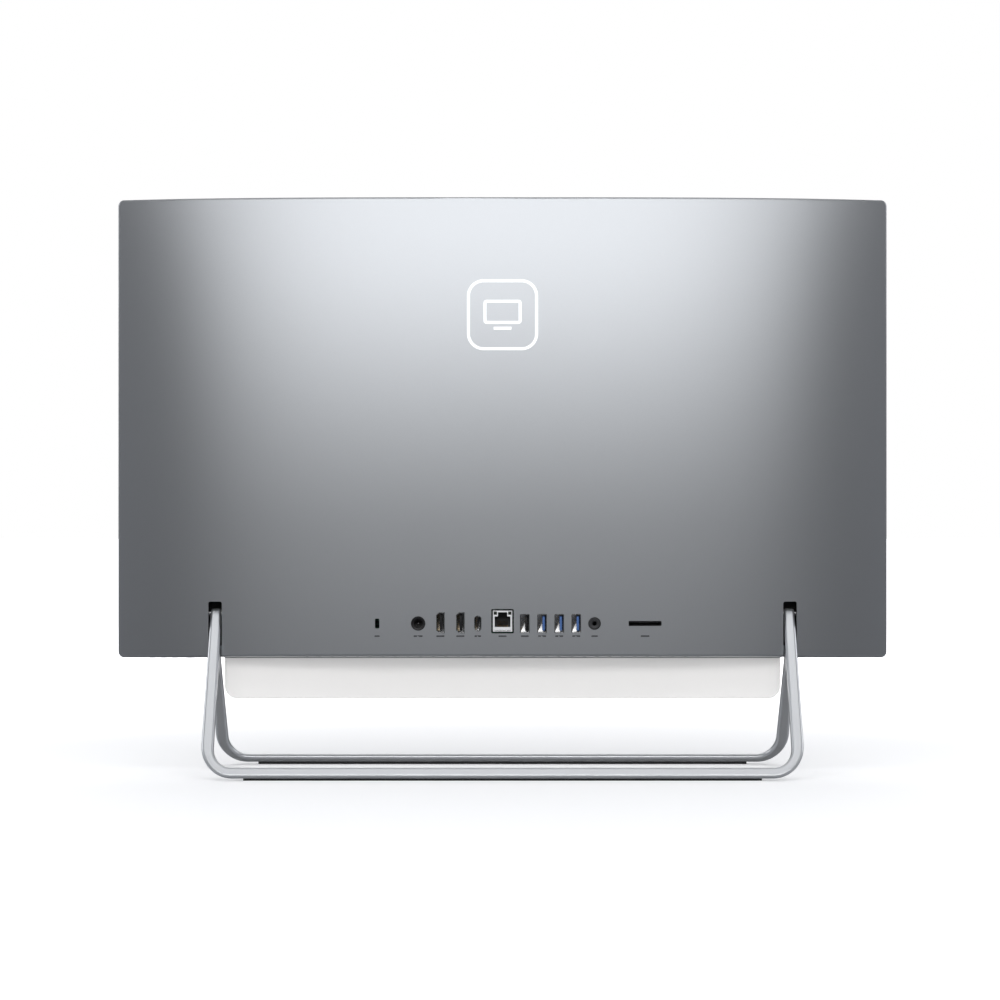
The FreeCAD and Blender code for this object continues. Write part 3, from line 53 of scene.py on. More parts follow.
VIEW_REACH = 60.0
rim_back_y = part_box("front_glass")[0].y + RIM_DEPTH
bpy.ops.object.camera_add(location=(VIEW_ASIDE, rim_back_y + VIEW_DISTANCE, VIEW_HEIGHT),
                          rotation=(math.pi / 2, 0, math.pi))
camera = bpy.context.object
camera.data.lens = LENS_MM
camera.data.sensor_width = SENSOR_MM
camera.data.clip_end = VIEW_REACH
bpy.context.scene.camera = camera

# The studio: a white table top without an edge in view, long soft boxes behind the computer and
# above the camera's line of sight, and others overhead, at both sides and in front. Matt surfaces
# are lit by a white tent. Shiny ones reflect a dark room with a pale table and pale side walls.
FLOOR_SIZE = 30.0
NEAR_GLOW = 0.13              # the table glows by this much around the computer,
FAR_GLOW = 1.0                # and by this much from GLOW_END on, so its far edge stays white
GLOW_START = 0.50
GLOW_END = 1.30
TENT = 0.62                   # brightness of the tent
ROOM_DARK = 0.04              # brightness of the room in reflections: behind and ahead,
ROOM_SIDES = 0.16             # at the side walls,
WALLS_TOP = 0.30              # by how much more higher up on them,
ROOM_TABLE = 0.20             # and by how much more on the table
# The room by direction. Heights are the sine of the angle above level, and sides the sine of the
# angle away from straight ahead: each pair is where a change starts and where it is complete.
TABLE_HEIGHT = (-0.12, -0.45)
UNDER_HEIGHT = (-0.96, -0.70)
WALL_SIDE = (0.66, 0.95)
WALL_TOP_SIDE = (0.50, 0.85)
WALL_TOP_HEIGHT = (-0.05, 0.45)


def linear(code):
    """sRGB hex code to a linear colour with alpha."""
    channels = []
    for i in (1, 3, 5):
        c = int(code[i:i + 2], 16) / 255
        channels.append(c / 12.92 if c <= 0.04045 else ((c + 0.055) / 1.055) ** 2.4)
    return (*channels, 1.0)


def add_node(tree, kind, settings=None, links=None):
    """A shader node with its settings, input values and links."""
    made = tree.nodes.new(kind)
    for key, value in (settings or {}).items():
        if isinstance(key, int) or key in made.inputs:
            made.inputs[key].default_value = value
        else:
            setattr(made, key, value)
    for key, source in (links or {}).items():
        tree.links.new(source, made.inputs[key])
    return made


def ramp(tree, value, start, end, low, high, interpolation="LINEAR"):
    """Output that goes from low to high while a value goes from start to end."""
    return add_node(tree, "ShaderNodeMapRange",
                    {"interpolation_type": interpolation, "From Min": start, "From Max": end,
                     "To Min": low, "To Max": high}, {"Value": value}).outputs["Result"]


def object_place(tree):
    return add_node(tree, "ShaderNodeTexCoord").outputs["Object"]


def blend(tree, shader, factor, first, second):
    """Base colour that goes from one sRGB hex code to another with a factor."""
    tint = add_node(tree, "ShaderNodeMix", {"data_type": "RGBA", "A": linear(first), "B": linear(second)},
                    {"Factor": factor})
    tree.links.new(tint.outputs["Result"], shader.inputs["Base Color"])


def new_material(name, **sockets):
    """A material with one principled shader, whose constant values sit on its own sockets."""
    material = bpy.data.materials.new(name)
    material.use_nodes = True
    shader = material.node_tree.nodes["Principled BSDF"]
    for key, value in sockets.items():
        shader.inputs[key.replace("_", " ")].default_value = value
    return material, material.node_tree, shader


def deselect():
    bpy.ops.object.select_all(action="DESELECT")


world = bpy.data.worlds.new("studio_room")
bpy.context.scene.world = world
world.use_nodes = True
room = world.node_tree
room.nodes.clear()
path = add_node(room, "ShaderNodeLightPath")
seen = add_node(room, "ShaderNodeBackground", {"Color": (1, 1, 1, 1), "Strength": 1.0})
direction = add_node(room, "ShaderNodeTexCoord")
axes = add_node(room, "ShaderNodeSeparateXYZ", links={"Vector": direction.outputs["Generated"]})
# the table starts a little below level and ends before the spot straight under the computer
table = ramp(room, axes.outputs["Z"], *TABLE_HEIGHT, 0.0, 1.0, "SMOOTHSTEP")
shade = ramp(room, axes.outputs["Z"], *UNDER_HEIGHT, 0.0, 1.0, "SMOOTHSTEP")
pale = add_node(room, "ShaderNodeMath", {"operation": "MULTIPLY"}, {0: table, 1: shade})
sideways = add_node(room, "ShaderNodeMath", {"operation": "ABSOLUTE"}, {0: axes.outputs["X"]}).outputs[0]
walls = ramp(room, sideways, *WALL_SIDE, ROOM_DARK, ROOM_SIDES, "SMOOTHSTEP")
height = ramp(room, axes.outputs["Z"], *WALL_TOP_HEIGHT, 0.0, 1.0)
flank = ramp(room, sideways, *WALL_TOP_SIDE, 0.0, WALLS_TOP, "SMOOTHSTEP")
upper = add_node(room, "ShaderNodeMath", {"operation": "MULTIPLY_ADD"}, {0: height, 1: flank, 2: walls})
reflected = add_node(room, "ShaderNodeMath", {"operation": "MULTIPLY_ADD", 1: ROOM_TABLE},
                     {0: pale.outputs[0], 2: upper.outputs[0]})
dim = add_node(room, "ShaderNodeBackground", {"Color": linear("#f4f7ff")},
               {"Strength": reflected.outputs[0]})
tent = add_node(room, "ShaderNodeBackground", {"Color": linear("#f8faff"), "Strength": TENT})
lit = add_node(room, "ShaderNodeMixShader", links={"Fac": path.outputs["Is Diffuse Ray"]})
room.links.new(dim.outputs[0], lit.inputs[1])
room.links.new(tent.outputs[0], lit.inputs[2])
either = add_node(room, "ShaderNodeMixShader", links={"Fac": path.outputs["Is Camera Ray"]})
room.links.new(lit.outputs[0], either.inputs[1])
room.links.new(seen.outputs[0], either.inputs[2])
add_node(room, "ShaderNodeOutputWorld", links={"Surface": either.outputs[0]})

deselect()
bpy.ops.mesh.primitive_plane_add(size=FLOOR_SIZE, location=(0, 0, 0))
floor = bpy.context.object
floor.name = "table_top"
floor.visible_glossy = False
floor.visible_transmission = False
# white paper: matt, with hardly visible fibres
FIBRES_PER_M = 900.0
paper, tree, shader = new_material("white_seamless_paper", Roughness=0.9, Specular_IOR_Level=0.1)
spot = object_place(tree)
reach = add_node(tree, "ShaderNodeVectorMath", {"operation": "LENGTH"}, {"Vector": spot})
tree.links.new(ramp(tree, reach.outputs["Value"], GLOW_START, GLOW_END, NEAR_GLOW, FAR_GLOW),
               shader.inputs["Emission Strength"])
fibre = add_node(tree, "ShaderNodeTexNoise", {"Scale": FIBRES_PER_M}, {"Vector": spot})
blend(tree, shader, fibre.outputs["Fac"], "#f6f6f6", "#fbfbfb")
shader.inputs["Emission Color"].default_value = (1, 1, 1, 1)
floor.data.materials.append(paper)


def soft_box(name, location, target, width, height, power):
    """Rectangular lamp that faces a target; its sizes are in metres and its power in watts."""
    bpy.ops.object.light_add(type="AREA", location=location)
    lamp = bpy.context.object
    lamp.name = name
    lamp.data.shape = "RECTANGLE"
    lamp.data.size = width
    lamp.data.size_y = height
    lamp.data.energy = power
    lamp.rotation_euler = (Vector(target) - Vector(location)).to_track_quat("-Z", "Y").to_euler()


CASE_MIDDLE = (0, 0, 0.28)
STAND_MIDDLE = (0, 0, 0.1)
soft_box("key_low", (0, 2.0, 0.85), CASE_MIDDLE, width=2.4, height=0.5, power=8.6)
soft_box("key_high", (0, 2.0, 1.15), CASE_MIDDLE, width=2.4, height=0.5, power=2.8)
soft_box("key_middle", (0, 2.0, 0.95), CASE_MIDDLE, width=1.2, height=0.4, power=2.3)
soft_box("stand_box", (0, 1.35, 2.1), STAND_MIDDLE, width=2.4, height=0.8, power=7)
soft_box("top_box", (0, 0.1, 2.3), (0, 0.05, 0), width=2.6, height=1.6, power=6)
soft_box("front_box", (0, -2.2, 1.5), CASE_MIDDLE, width=2.4, height=1.4, power=18)
for end in (-1, 1):
    soft_box("side_box", (2.4 * end, -0.3, 1.0), CASE_MIDDLE, width=1.2, height=1.0, power=6)
bpy.context.scene.view_settings.view_transform = "Standard"

# The back cover: one injection-moulded ABS shell, sprayed with a satin silver paint. Its back is
# a shallow pillow, so its shading follows the pillow's own curve and not the facets of the mesh.
COVER_SWELL = 0.036           # how far the middle stands behind the side walls
COVER_SWELL_TOP = 0.026
COVER_FADE_START = 0.100      # height above the underside where the swelling starts to fade
COVER_POWER = 3.5
SLOPE_STEP = 0.0005           # distance over which the slope of the back is taken
WELD_GAP = 1e-6               # points closer together than this are one
SKIN_REACH = 0.0004           # a face this near the pillow's surface,
SKIN_ALIGN = 0.998            # and facing along it this well, belongs to it
case_low, case_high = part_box("back_cover")
half_width = case_high.x
case_height = case_high.z - case_low.z


def swell(z):
    """How far the middle of the back stands behind the side walls at a height."""
    fade = max(0.0, (z - case_low.z - COVER_FADE_START) / (case_height - COVER_FADE_START))
    return COVER_SWELL - (COVER_SWELL - COVER_SWELL_TOP) * fade * fade


def back_y(x, z):
    """Y of the cover's back surface."""
    return rim_back_y + swell(z) * (1 - abs(x / half_width) ** COVER_POWER)


def back_normal(x, z):
    """Outward direction of the cover's back surface."""
    dx = (back_y(x + SLOPE_STEP, z) - back_y(x - SLOPE_STEP, z)) / (2 * SLOPE_STEP)
    dz = (back_y(x, z + SLOPE_STEP) - back_y(x, z - SLOPE_STEP)) / (2 * SLOPE_STEP)
    return Vector((-dx, 1.0, -dz)).normalized()


def welded_copy(node, name):
    """Copy of a CAD node's mesh with its corners merged, as the start of a new piece."""
    piece = bpy.data.objects.new(name, nodes[node].data.copy())
    bpy.context.scene.collection.objects.link(piece)
    piece.data.materials.clear()
    deselect()
    bpy.context.view_layer.objects.active = piece
    piece.select_set(True)
    bpy.ops.object.mode_set(mode="EDIT")
    bpy.ops.mesh.select_all(action="SELECT")
    bpy.ops.mesh.remove_doubles(threshold=WELD_GAP)
    bpy.ops.object.mode_set(mode="OBJECT")
    bpy.ops.object.shade_smooth_by_angle(angle=math.radians(32))
    return piece


def add_paint_grain(tree, shader, light, dark, grain_mm, depth_mm, detail=3.0):
    """Fine mottling of colour and surface, for paints and moulded plastics."""
    grain = add_node(tree, "ShaderNodeTexNoise", {"Scale": 1000.0 / grain_mm, "Detail": detail},
                     {"Vector": object_place(tree)})
    blend(tree, shader, grain.outputs["Fac"], dark, light)
    bump = add_node(tree, "ShaderNodeBump", {"Strength": 0.5, "Distance": depth_mm / 1000},
                    {"Height": grain.outputs["Fac"]})
    tree.links.new(bump.outputs["Normal"], shader.inputs["Normal"])


# satin silver spray paint: aluminium flakes under a matt clear coat, so it shines broadly and
# falls off slowly towards the sides
silver_paint, tree, shader = new_material("satin_silver_paint", Metallic=0.95, Roughness=0.38)
add_paint_grain(tree, shader, "#c2c5c9", "#bcbfc3", 0.6, 0.004)

cover = welded_copy("back_cover", "rear_cover_shell")
cover.data.materials.append(silver_paint)
normals = [corner.vector.copy() for corner in cover.data.corner_normals]
for face in cover.data.polygons:
    facing = back_normal(face.center.x, face.center.z)
    on_skin = abs(face.center.y - back_y(face.center.x, face.center.z)) < SKIN_REACH
    if on_skin and face.normal.dot(facing) > SKIN_ALIGN:
        for corner in face.loop_indices:
            at = cover.data.vertices[cover.data.loops[corner].vertex_index].co
            normals[corner] = back_normal(at.x, at.z)
cover.data.normals_split_custom_set(normals)
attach(cover, "display")
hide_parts("back_cover")

# The middle frame: the slim moulded rim between the glass and the cover, in the same silver
# paint. From here on, a CAD node that keeps its shape gets its finish and its soft shading here.
SEAM_ANGLE = math.radians(28)

soft_shading = bpy.data.node_groups.new("soft_shading", "GeometryNodeTree")
for way in ("INPUT", "OUTPUT"):
    soft_shading.interface.new_socket("Geometry", in_out=way, socket_type="NodeSocketGeometry")
loose = add_node(soft_shading, "NodeGroupInput")
joined = add_node(soft_shading, "GeometryNodeMergeByDistance", {"Distance": WELD_GAP},
                  {"Geometry": loose.outputs[0]})
edge_angle = add_node(soft_shading, "GeometryNodeInputMeshEdgeAngle")
is_seam = add_node(soft_shading, "FunctionNodeCompare", {"operation": "GREATER_THAN", "B": SEAM_ANGLE},
                   {"A": edge_angle.outputs["Unsigned Angle"]})
smooth = add_node(soft_shading, "GeometryNodeSetShadeSmooth", {"domain": "FACE", "Shade Smooth": True},
                  {"Geometry": joined.outputs[0]})
seams = add_node(soft_shading, "GeometryNodeSetShadeSmooth", {"domain": "EDGE", "Shade Smooth": False},
                 {"Geometry": smooth.outputs[0], "Selection": is_seam.outputs["Result"]})
add_node(soft_shading, "NodeGroupOutput", links={"Geometry": seams.outputs[0]})


def finish_node(material, *names):
    """Finish CAD nodes: their material, and modifiers that round the shading of their small edges."""
    for name in names:
        nodes[name].data.materials.clear()
        nodes[name].data.materials.append(material)
        nodes[name].modifiers.new("soft_shading", "NODES").node_group = soft_shading
        nodes[name].modifiers.new("even_normals", "WEIGHTED_NORMAL").keep_sharp = True


finish_node(silver_paint, "middle_frame")

# The emblem: a rounded square and a plain monitor sign, punched from glossy white acrylic and
# pressed into recesses of the cover.
# acrylic: bright, with a clear sharp gloss
acrylic, tree, shader = new_material("white_acrylic", Roughness=0.14, Coat_Weight=0.6, Coat_Roughness=0.04)
add_paint_grain(tree, shader, "#fbfbfc", "#f3f4f6", 3.0, 0.002)
finish_node(acrylic, "emblem_badge")

# The glass, and behind its border a ring of black print. Both are cut from one sheet, which is
# bonded to the ledge of the middle frame.
BORDER_W = 0.0135             # width of the printed border
PRINT_T = 0.00008
GLASS_CORNER_R = 0.003
SMEARS_PER_M = 14.0
SMEAR_ROUGHNESS = (0.01, 0.05)
# float glass: clear, with a sharp mirror image and a slight smear from wiping
glass, tree, shader = new_material("float_glass", IOR=1.52, Transmission_Weight=1.0)
smear = add_node(tree, "ShaderNodeTexNoise", {"Scale": SMEARS_PER_M, "Detail": 4.0},
                 {"Vector": object_place(tree)})
tree.links.new(ramp(tree, smear.outputs["Fac"], 0.0, 1.0, *SMEAR_ROUGHNESS), shader.inputs["Roughness"])
finish_node(glass, "front_glass")


def open_piece(name):
    """Name a primitive just added, put its place into its mesh, and start to shape it."""
    piece = bpy.context.object
    piece.name = name
    bpy.ops.object.transform_apply(location=True, rotation=True, scale=True)
    bpy.ops.object.mode_set(mode="EDIT")
    return piece


def start_block(name, low, high):
    """A block between two corners, left in edit mode as the start of a new piece."""
    deselect()
    low = Vector(low)
    high = Vector(high)
    bpy.ops.mesh.primitive_cube_add(size=1, location=(low + high) / 2, scale=high - low)
    return open_piece(name)


def choose(piece, kind, test):
    """Select the faces, edges or vertices of a piece in edit mode that pass a test."""
    bpy.ops.mesh.select_mode(type=kind)
    bpy.ops.mesh.select_all(action="DESELECT")
    shape = bmesh.from_edit_mesh(piece.data)
    for part in {"FACE": shape.faces, "EDGE": shape.edges, "VERT": shape.verts}[kind]:
        if test(part):
            part.select_set(True)
    shape.select_flush_mode()
    bmesh.update_edit_mesh(piece.data)


def runs_along(edge, axis):
    """Whether an edge is parallel to the X, Y or Z axis, given as 0, 1 or 2."""
    ends = edge.verts[1].co - edge.verts[0].co
    return abs(ends[axis]) > 0.999 * ends.length


def faces_back(face):
    return face.normal.y > 0.99


def push(x, y, z):
    """Extrude what is selected and move it."""
    bpy.ops.mesh.extrude_region_move(TRANSFORM_OT_translate={"value": (x, y, z)})


def open_ring(piece, width):
    """Cut away the middle of a flat piece, so that only a border of this width stays."""
    choose(piece, "FACE", lambda face: abs(face.normal.y) > 0.99)
    bpy.ops.mesh.inset(thickness=width)
    bpy.ops.mesh.delete(type="FACE")
    choose(piece, "EDGE", lambda edge: edge.is_boundary)
    bpy.ops.mesh.bridge_edge_loops()


def end_piece(piece, material, body, edge=0.0, replaced=()):
    """Leave edit mode, ease the sharp edges, give the piece its finish and body, and hide the nodes it
    replaces.
    """
    bpy.ops.object.mode_set(mode="OBJECT")
    deselect()
    bpy.context.view_layer.objects.active = piece
    piece.select_set(True)
    if edge:
        ease = piece.modifiers.new("eased_edges", "BEVEL")
        ease.width = edge
        ease.segments = 2
        ease.limit_method = "ANGLE"
        ease.angle_limit = math.radians(40)
        bpy.ops.object.modifier_apply(modifier=ease.name)
    bpy.ops.object.shade_smooth_by_angle(angle=math.radians(35))
    piece.data.materials.append(material)
    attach(piece, body)
    if replaced:
        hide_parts(*replaced)
    return piece


low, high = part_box("front_glass")
# screen print: dead black ink with a fine mesh texture from the printing screen
print_ink, tree, shader = new_material("black_screen_print", Roughness=0.5)
add_paint_grain(tree, shader, "#0a0a0b", "#060607", 0.4, 0.001)
border = start_block("glass_border_print", (low.x, high.y + PRINT_T / 4, low.z),
                     (high.x, high.y + PRINT_T, high.z))
choose(border, "EDGE", lambda edge: runs_along(edge, 1))
bpy.ops.mesh.bevel(offset=GLASS_CORNER_R, segments=4)
open_ring(border, BORDER_W)
end_piece(border, print_ink, "display")

# The liquid crystal panel: a flat glass sandwich in a thin frame. Switched off it is nearly
# black, with a fine grid of cells.
CELL_MM = 0.9                 # grid drawn coarse enough to show; the real cells are a third of it
# polariser film: anti-glare, so its gloss is soft
panel_film, tree, shader = new_material("polariser_film", Roughness=0.36, Specular_IOR_Level=0.2)
turned = add_node(tree, "ShaderNodeMapping", {"Rotation": (math.pi / 2, 0, 0)},
                  {"Vector": object_place(tree)})
grid = add_node(tree, "ShaderNodeTexBrick",
                {"Scale": 1000 / CELL_MM / 4, "offset": 0.0, "Mortar Size": 0.012,
                 "Color1": linear("#08090b"), "Color2": linear("#0a0b0d"), "Mortar": linear("#040405")},
                {"Vector": turned.outputs["Vector"]})
tree.links.new(grid.outputs["Color"], shader.inputs["Base Color"])
finish_node(panel_film, "lcd_panel")

# The chassis: a pressed steel plate, the hinge brackets, the drive's tray and the plate behind
# the security slot, all punched and folded from galvanised sheet.
SPANGLE_MM = 9.0              # size of the zinc's crystals
ZINC_ROUGHNESS = (0.32, 0.48)
zinc, tree, shader = new_material("galvanised_sheet", Metallic=1.0)
spangle = add_node(tree, "ShaderNodeTexVoronoi", {"Scale": 1000 / SPANGLE_MM}, {"Vector": object_place(tree)})
blend(tree, shader, spangle.outputs["Color"], "#9aa0a5", "#b4b9bd")
tree.links.new(ramp(tree, spangle.outputs["Color"], 0.0, 1.0, *ZINC_ROUGHNESS), shader.inputs["Roughness"])
finish_node(zinc, "base_plate", "hinge_bracket_left", "hinge_bracket_right", "drive_caddy",
            "security_lock_plate")

# The anchors of the front legs: machined steel blocks, blasted and left bare. Their lower ends
# show as a light strip in the mouth of each leg slot.
blasted_steel, tree, shader = new_material("blasted_steel", Metallic=1.0, Roughness=0.42)
add_paint_grain(tree, shader, "#b9bcc0", "#a4a8ac", 0.5, 0.012)
finish_node(blasted_steel, "leg_anchor_left", "leg_anchor_right")

# The slot liners: black moulded channels that close the case behind the leg slots. The camera's
# guide and the fan's housing are moulded from the same plastic.
# ABS with a spark-eroded texture: nearly matt and finely pebbled
black_abs, tree, shader = new_material("black_abs", Roughness=0.55)
add_paint_grain(tree, shader, "#141416", "#0d0d0e", 0.45, 0.02)
finish_node(black_abs, "slot_liner_left", "slot_liner_right", "camera_guide", "fan_housing")

# Fasteners, shafts, washers and standoffs: turned steel with a bright nickel plating, which
# shows the marks of turning.
TURNING_PER_M = 2200.0
NICKEL_ROUGHNESS = (0.18, 0.32)
nickel, tree, shader = new_material("nickel_plating", Metallic=1.0)
turning = add_node(tree, "ShaderNodeTexNoise", {"Scale": TURNING_PER_M, "Detail": 2.0},
                   {"Vector": object_place(tree)})
blend(tree, shader, turning.outputs["Fac"], "#b9babb", "#cbcccd")
tree.links.new(ramp(tree, turning.outputs["Fac"], 0.0, 1.0, *NICKEL_ROUGHNESS), shader.inputs["Roughness"])
finish_node(nickel, "chassis_screws", "stand_screws", "hinge_shafts", "friction_washers", "board_standoffs")

# The stand: two U-shaped frames, each bent from one extruded aluminium bar, bead-blasted and
# clear anodised.
BEAD_MM = 0.25                # size of the blasting beads' dents
anodised, tree, shader = new_material("anodised_aluminium", Metallic=0.8, Roughness=0.34)
add_paint_grain(tree, shader, "#e4e6e9", "#dadde0", BEAD_MM, 0.006, 2.0)
finish_node(anodised, "rear_leg_frame", "front_leg_frame")

# The foot strips: soft black rubber, pressed into a groove under each foot bar. The rubber is
# dull and slightly chalky.
rubber, tree, shader = new_material("black_rubber", Roughness=0.85)
add_paint_grain(tree, shader, "#262729", "#1b1c1d", 0.7, 0.03)
finish_node(rubber, "rear_foot_strip", "front_foot_strip")

# The loudspeaker bar: a moulded tub in pearl silver paint, lighter and less metallic than the
# cover's, closed in front by a black grille with two rows of slots over the loudspeakers.
TUB_WALL = 0.0016
TUB_CORNER = 0.0100
TUB_REAR_EDGE = 0.0025
# pearl silver spray paint: mostly white pigment, few flakes, and a thin satin coat
pearl_paint, tree, shader = new_material("pearl_silver_paint", Metallic=0.08, Roughness=0.45,
                                         Coat_Weight=0.15, Coat_Roughness=0.3)
add_paint_grain(tree, shader, "#fbf9f6", "#f6f4f1", 0.5, 0.004)
low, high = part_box("soundbar_housing")
tub = start_block("speaker_bar_tub", low, high)
choose(tub, "EDGE", lambda edge: runs_along(edge, 1) and edge.verts[0].co.z < low.z + 1e-5)
bpy.ops.mesh.bevel(offset=TUB_CORNER, segments=16)
choose(tub, "EDGE", lambda edge: all(v.co.y > high.y - 1e-5 for v in edge.verts)
       and min(v.co.z for v in edge.verts) < high.z - 1e-5)
bpy.ops.mesh.bevel(offset=TUB_REAR_EDGE, segments=6)
choose(tub, "FACE", lambda face: face.normal.y < -0.99)
bpy.ops.mesh.inset(thickness=TUB_WALL)
push(0, high.y - low.y - TUB_WALL, 0)
end_piece(tub, pearl_paint, "display", replaced=("soundbar_housing",))
# matt black paint on the grille's punched steel
grille_paint, tree, shader = new_material("matt_black_paint", Roughness=0.6)
add_paint_grain(tree, shader, "#1a1b1d", "#121315", 0.35, 0.01)
finish_node(grille_paint, "soundbar_grille")
# coated paper cones in a moulded basket: fibrous and dull
cone_paper, tree, shader = new_material("coated_cone_paper", Roughness=0.75)
add_paint_grain(tree, shader, "#26272a", "#17181a", 1.2, 0.05, 5.0)
finish_node(cone_paper, "speaker_left", "speaker_right")

# Circuit boards: glass-fibre laminate under a dark green solder mask, with the copper tracks
# showing faintly through it.
TRACK_MM = 3.2                # spacing of the wider tracks
TRACK_RELIEF = 0.00004
solder_mask, tree, shader = new_material("solder_mask", Roughness=0.32, Coat_Weight=0.3,
                                         Coat_Roughness=0.15)
turned = add_node(tree, "ShaderNodeMapping", {"Rotation": (math.pi / 2, 0, 0)},
                  {"Vector": object_place(tree)})
tracks = add_node(tree, "ShaderNodeTexBrick",
                  {"Scale": 1000 / TRACK_MM / 4, "offset": 0.37, "squash": 1.7,
                   "Mortar Size": 0.035, "Mortar Smooth": 0.2,
                   "Color1": linear("#0f3a2a"), "Color2": linear("#124231"), "Mortar": linear("#2b6a4a")},
                  {"Vector": turned.outputs["Vector"]})
tree.links.new(tracks.outputs["Color"], shader.inputs["Base Color"])
relief = add_node(tree, "ShaderNodeBump", {"Strength": 0.4, "Distance": TRACK_RELIEF},
                  {"Height": tracks.outputs["Fac"]})
tree.links.new(relief.outputs["Normal"], shader.inputs["Normal"])
finish_node(solder_mask, "system_board", "button_board", "memory_module_1", "memory_module_2",
            "solid_state_drive", "wireless_card")

# Cooling: a copper base and copper pipes, aluminium fins, and a blower whose impeller is moulded
# and as dull as the loudspeakers' cones. The antennas are copper too.
# drawn copper: warm, with brown patches where hands touched it
copper, tree, shader = new_material("drawn_copper", Metallic=1.0, Roughness=0.3)
add_paint_grain(tree, shader, "#d08a63", "#a9694a", 12.0, 0.006, 5.0)
finish_node(copper, "heat_pipes", "cold_plate", "antennas")
# rolled aluminium: pale and streaked along the rolling direction
STREAKS_PER_M = 1600.0
rolled, tree, shader = new_material("rolled_aluminium", Metallic=1.0, Roughness=0.36)
drawn = add_node(tree, "ShaderNodeMapping", {"Scale": (0.05, 1.0, 1.0)}, {"Vector": object_place(tree)})
streaks = add_node(tree, "ShaderNodeTexNoise", {"Scale": STREAKS_PER_M, "Detail": 3.0},
                   {"Vector": drawn.outputs["Vector"]})
blend(tree, shader, streaks.outputs["Fac"], "#c9cdd1", "#dde0e3")
finish_node(rolled, "heat_sink_fins", "processor", "hard_drive")
finish_node(cone_paper, "fan_impeller")
# stainless steel can of the coin cell: bright, with fine turned rings
CELL_RINGS = 900.0
can_steel, tree, shader = new_material("coin_cell_steel", Metallic=1.0, Roughness=0.24)
low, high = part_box("coin_cell")
centred = add_node(tree, "ShaderNodeMapping", {"Location": -(low + high) / 2},
                   {"Vector": object_place(tree)})
rings = add_node(tree, "ShaderNodeTexWave",
                 {"wave_type": "RINGS", "rings_direction": "Y", "Scale": CELL_RINGS},
                 {"Vector": centred.outputs["Vector"]})
blend(tree, shader, rings.outputs["Fac"], "#bfc1c2", "#cfd1d2")
finish_node(can_steel, "coin_cell")

# The rising camera: a slim black housing whose top lies flush with the case, with a glass lens
# in its face and a ring pressed in around it.
RING_W = 0.0011
RING_T = 0.0004
FINE_EASE = 0.0001            # by how much the edges of small pieces are eased
finish_node(black_abs, "camera_housing")
# coated lens glass: black with a violet glint
lens_glass, tree, shader = new_material("coated_lens_glass", Roughness=0.04, Coat_Weight=1.0,
                                        Coat_Roughness=0.02)
add_paint_grain(tree, shader, "#1a1226", "#0b0912", 2.5, 0.0002)
shader.inputs["Coat Tint"].default_value = linear("#c7b4ff")
finish_node(lens_glass, "camera_lens")


def start_cylinder(name, middle, radius, length, vertices):
    """A cylinder along Y, left in edit mode as the start of a turned piece."""
    deselect()
    bpy.ops.mesh.primitive_cylinder_add(vertices=vertices, radius=radius, depth=length,
                                        location=middle, rotation=(math.pi / 2, 0, 0))
    return open_piece(name)


low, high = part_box("camera_lens")
middle = (low + high) / 2
ring = start_cylinder("camera_lens_ring", (middle.x, low.y - RING_T / 2, middle.z), high.x + RING_W,
                      RING_T, 48)
open_ring(ring, RING_W)
end_piece(ring, nickel, "camera", edge=FINE_EASE)

# The keys under one end: moulded caps in the cover's silver paint, which slide in the underside
# and press switches on the button board.
finish_node(silver_paint, "power_button", "input_button", "brightness_down_button",
            "brightness_up_button")

# Sockets along the back. Each metal sleeve is folded from nickel-plated sheet and soldered to
# the main board, and holds a moulded tongue with its contacts.
SLEEVE_WALL = 0.0005
SLEEVE_DEPTH = 0.0110
SLEEVE_CORNER = 0.0008
HDMI_CUT = 0.0022             # the cut corners of an HDMI sleeve
USB_C_CORNER = 0.0026
TONGUE_T = 0.0019
TONGUE_TALL = 0.0111
TONGUE_BACK = 0.0010          # the tongue's end stands this far inside the mouth
TONGUE_TIP = 0.0003           # length of its tapered tip
USB_ASIDE = 0.00127           # the tongue stands this far off the middle of a USB socket,
HDMI_ASIDE = 0.0004           # and this far off that of an HDMI socket
USB_C_T = 0.0008
USB_C_TALL = 0.0075
CONTACT_T = 0.00012
USB_CONTACT_BACK = 0.0018     # from the mouth to the ends of the contacts
HDMI_CONTACT_BACK = 0.0075
USB_C_CONTACT_BACK = 0.0040
TONGUE_ROOT = 0.0005          # the tongue is sunk this far into the floor of its sleeve
SLEEVE_EASE = 0.00012
SOCKET_EASE = 0.00015
# polyamide, moulded: slightly glossy and evenly coloured
black_nylon, tree, shader = new_material("black_nylon", Roughness=0.4)
add_paint_grain(tree, shader, "#17171a", "#101012", 0.8, 0.006)
# the same, coloured blue for the fast sockets
blue_nylon, tree, shader = new_material("blue_nylon", Roughness=0.4)
add_paint_grain(tree, shader, "#3f639c", "#385a91", 0.8, 0.006)
# gold flash over nickel: warm and bright
gold_flash, tree, shader = new_material("gold_flash", Metallic=1.0, Roughness=0.22)
add_paint_grain(tree, shader, "#e6bd62", "#d9ad52", 0.6, 0.001)


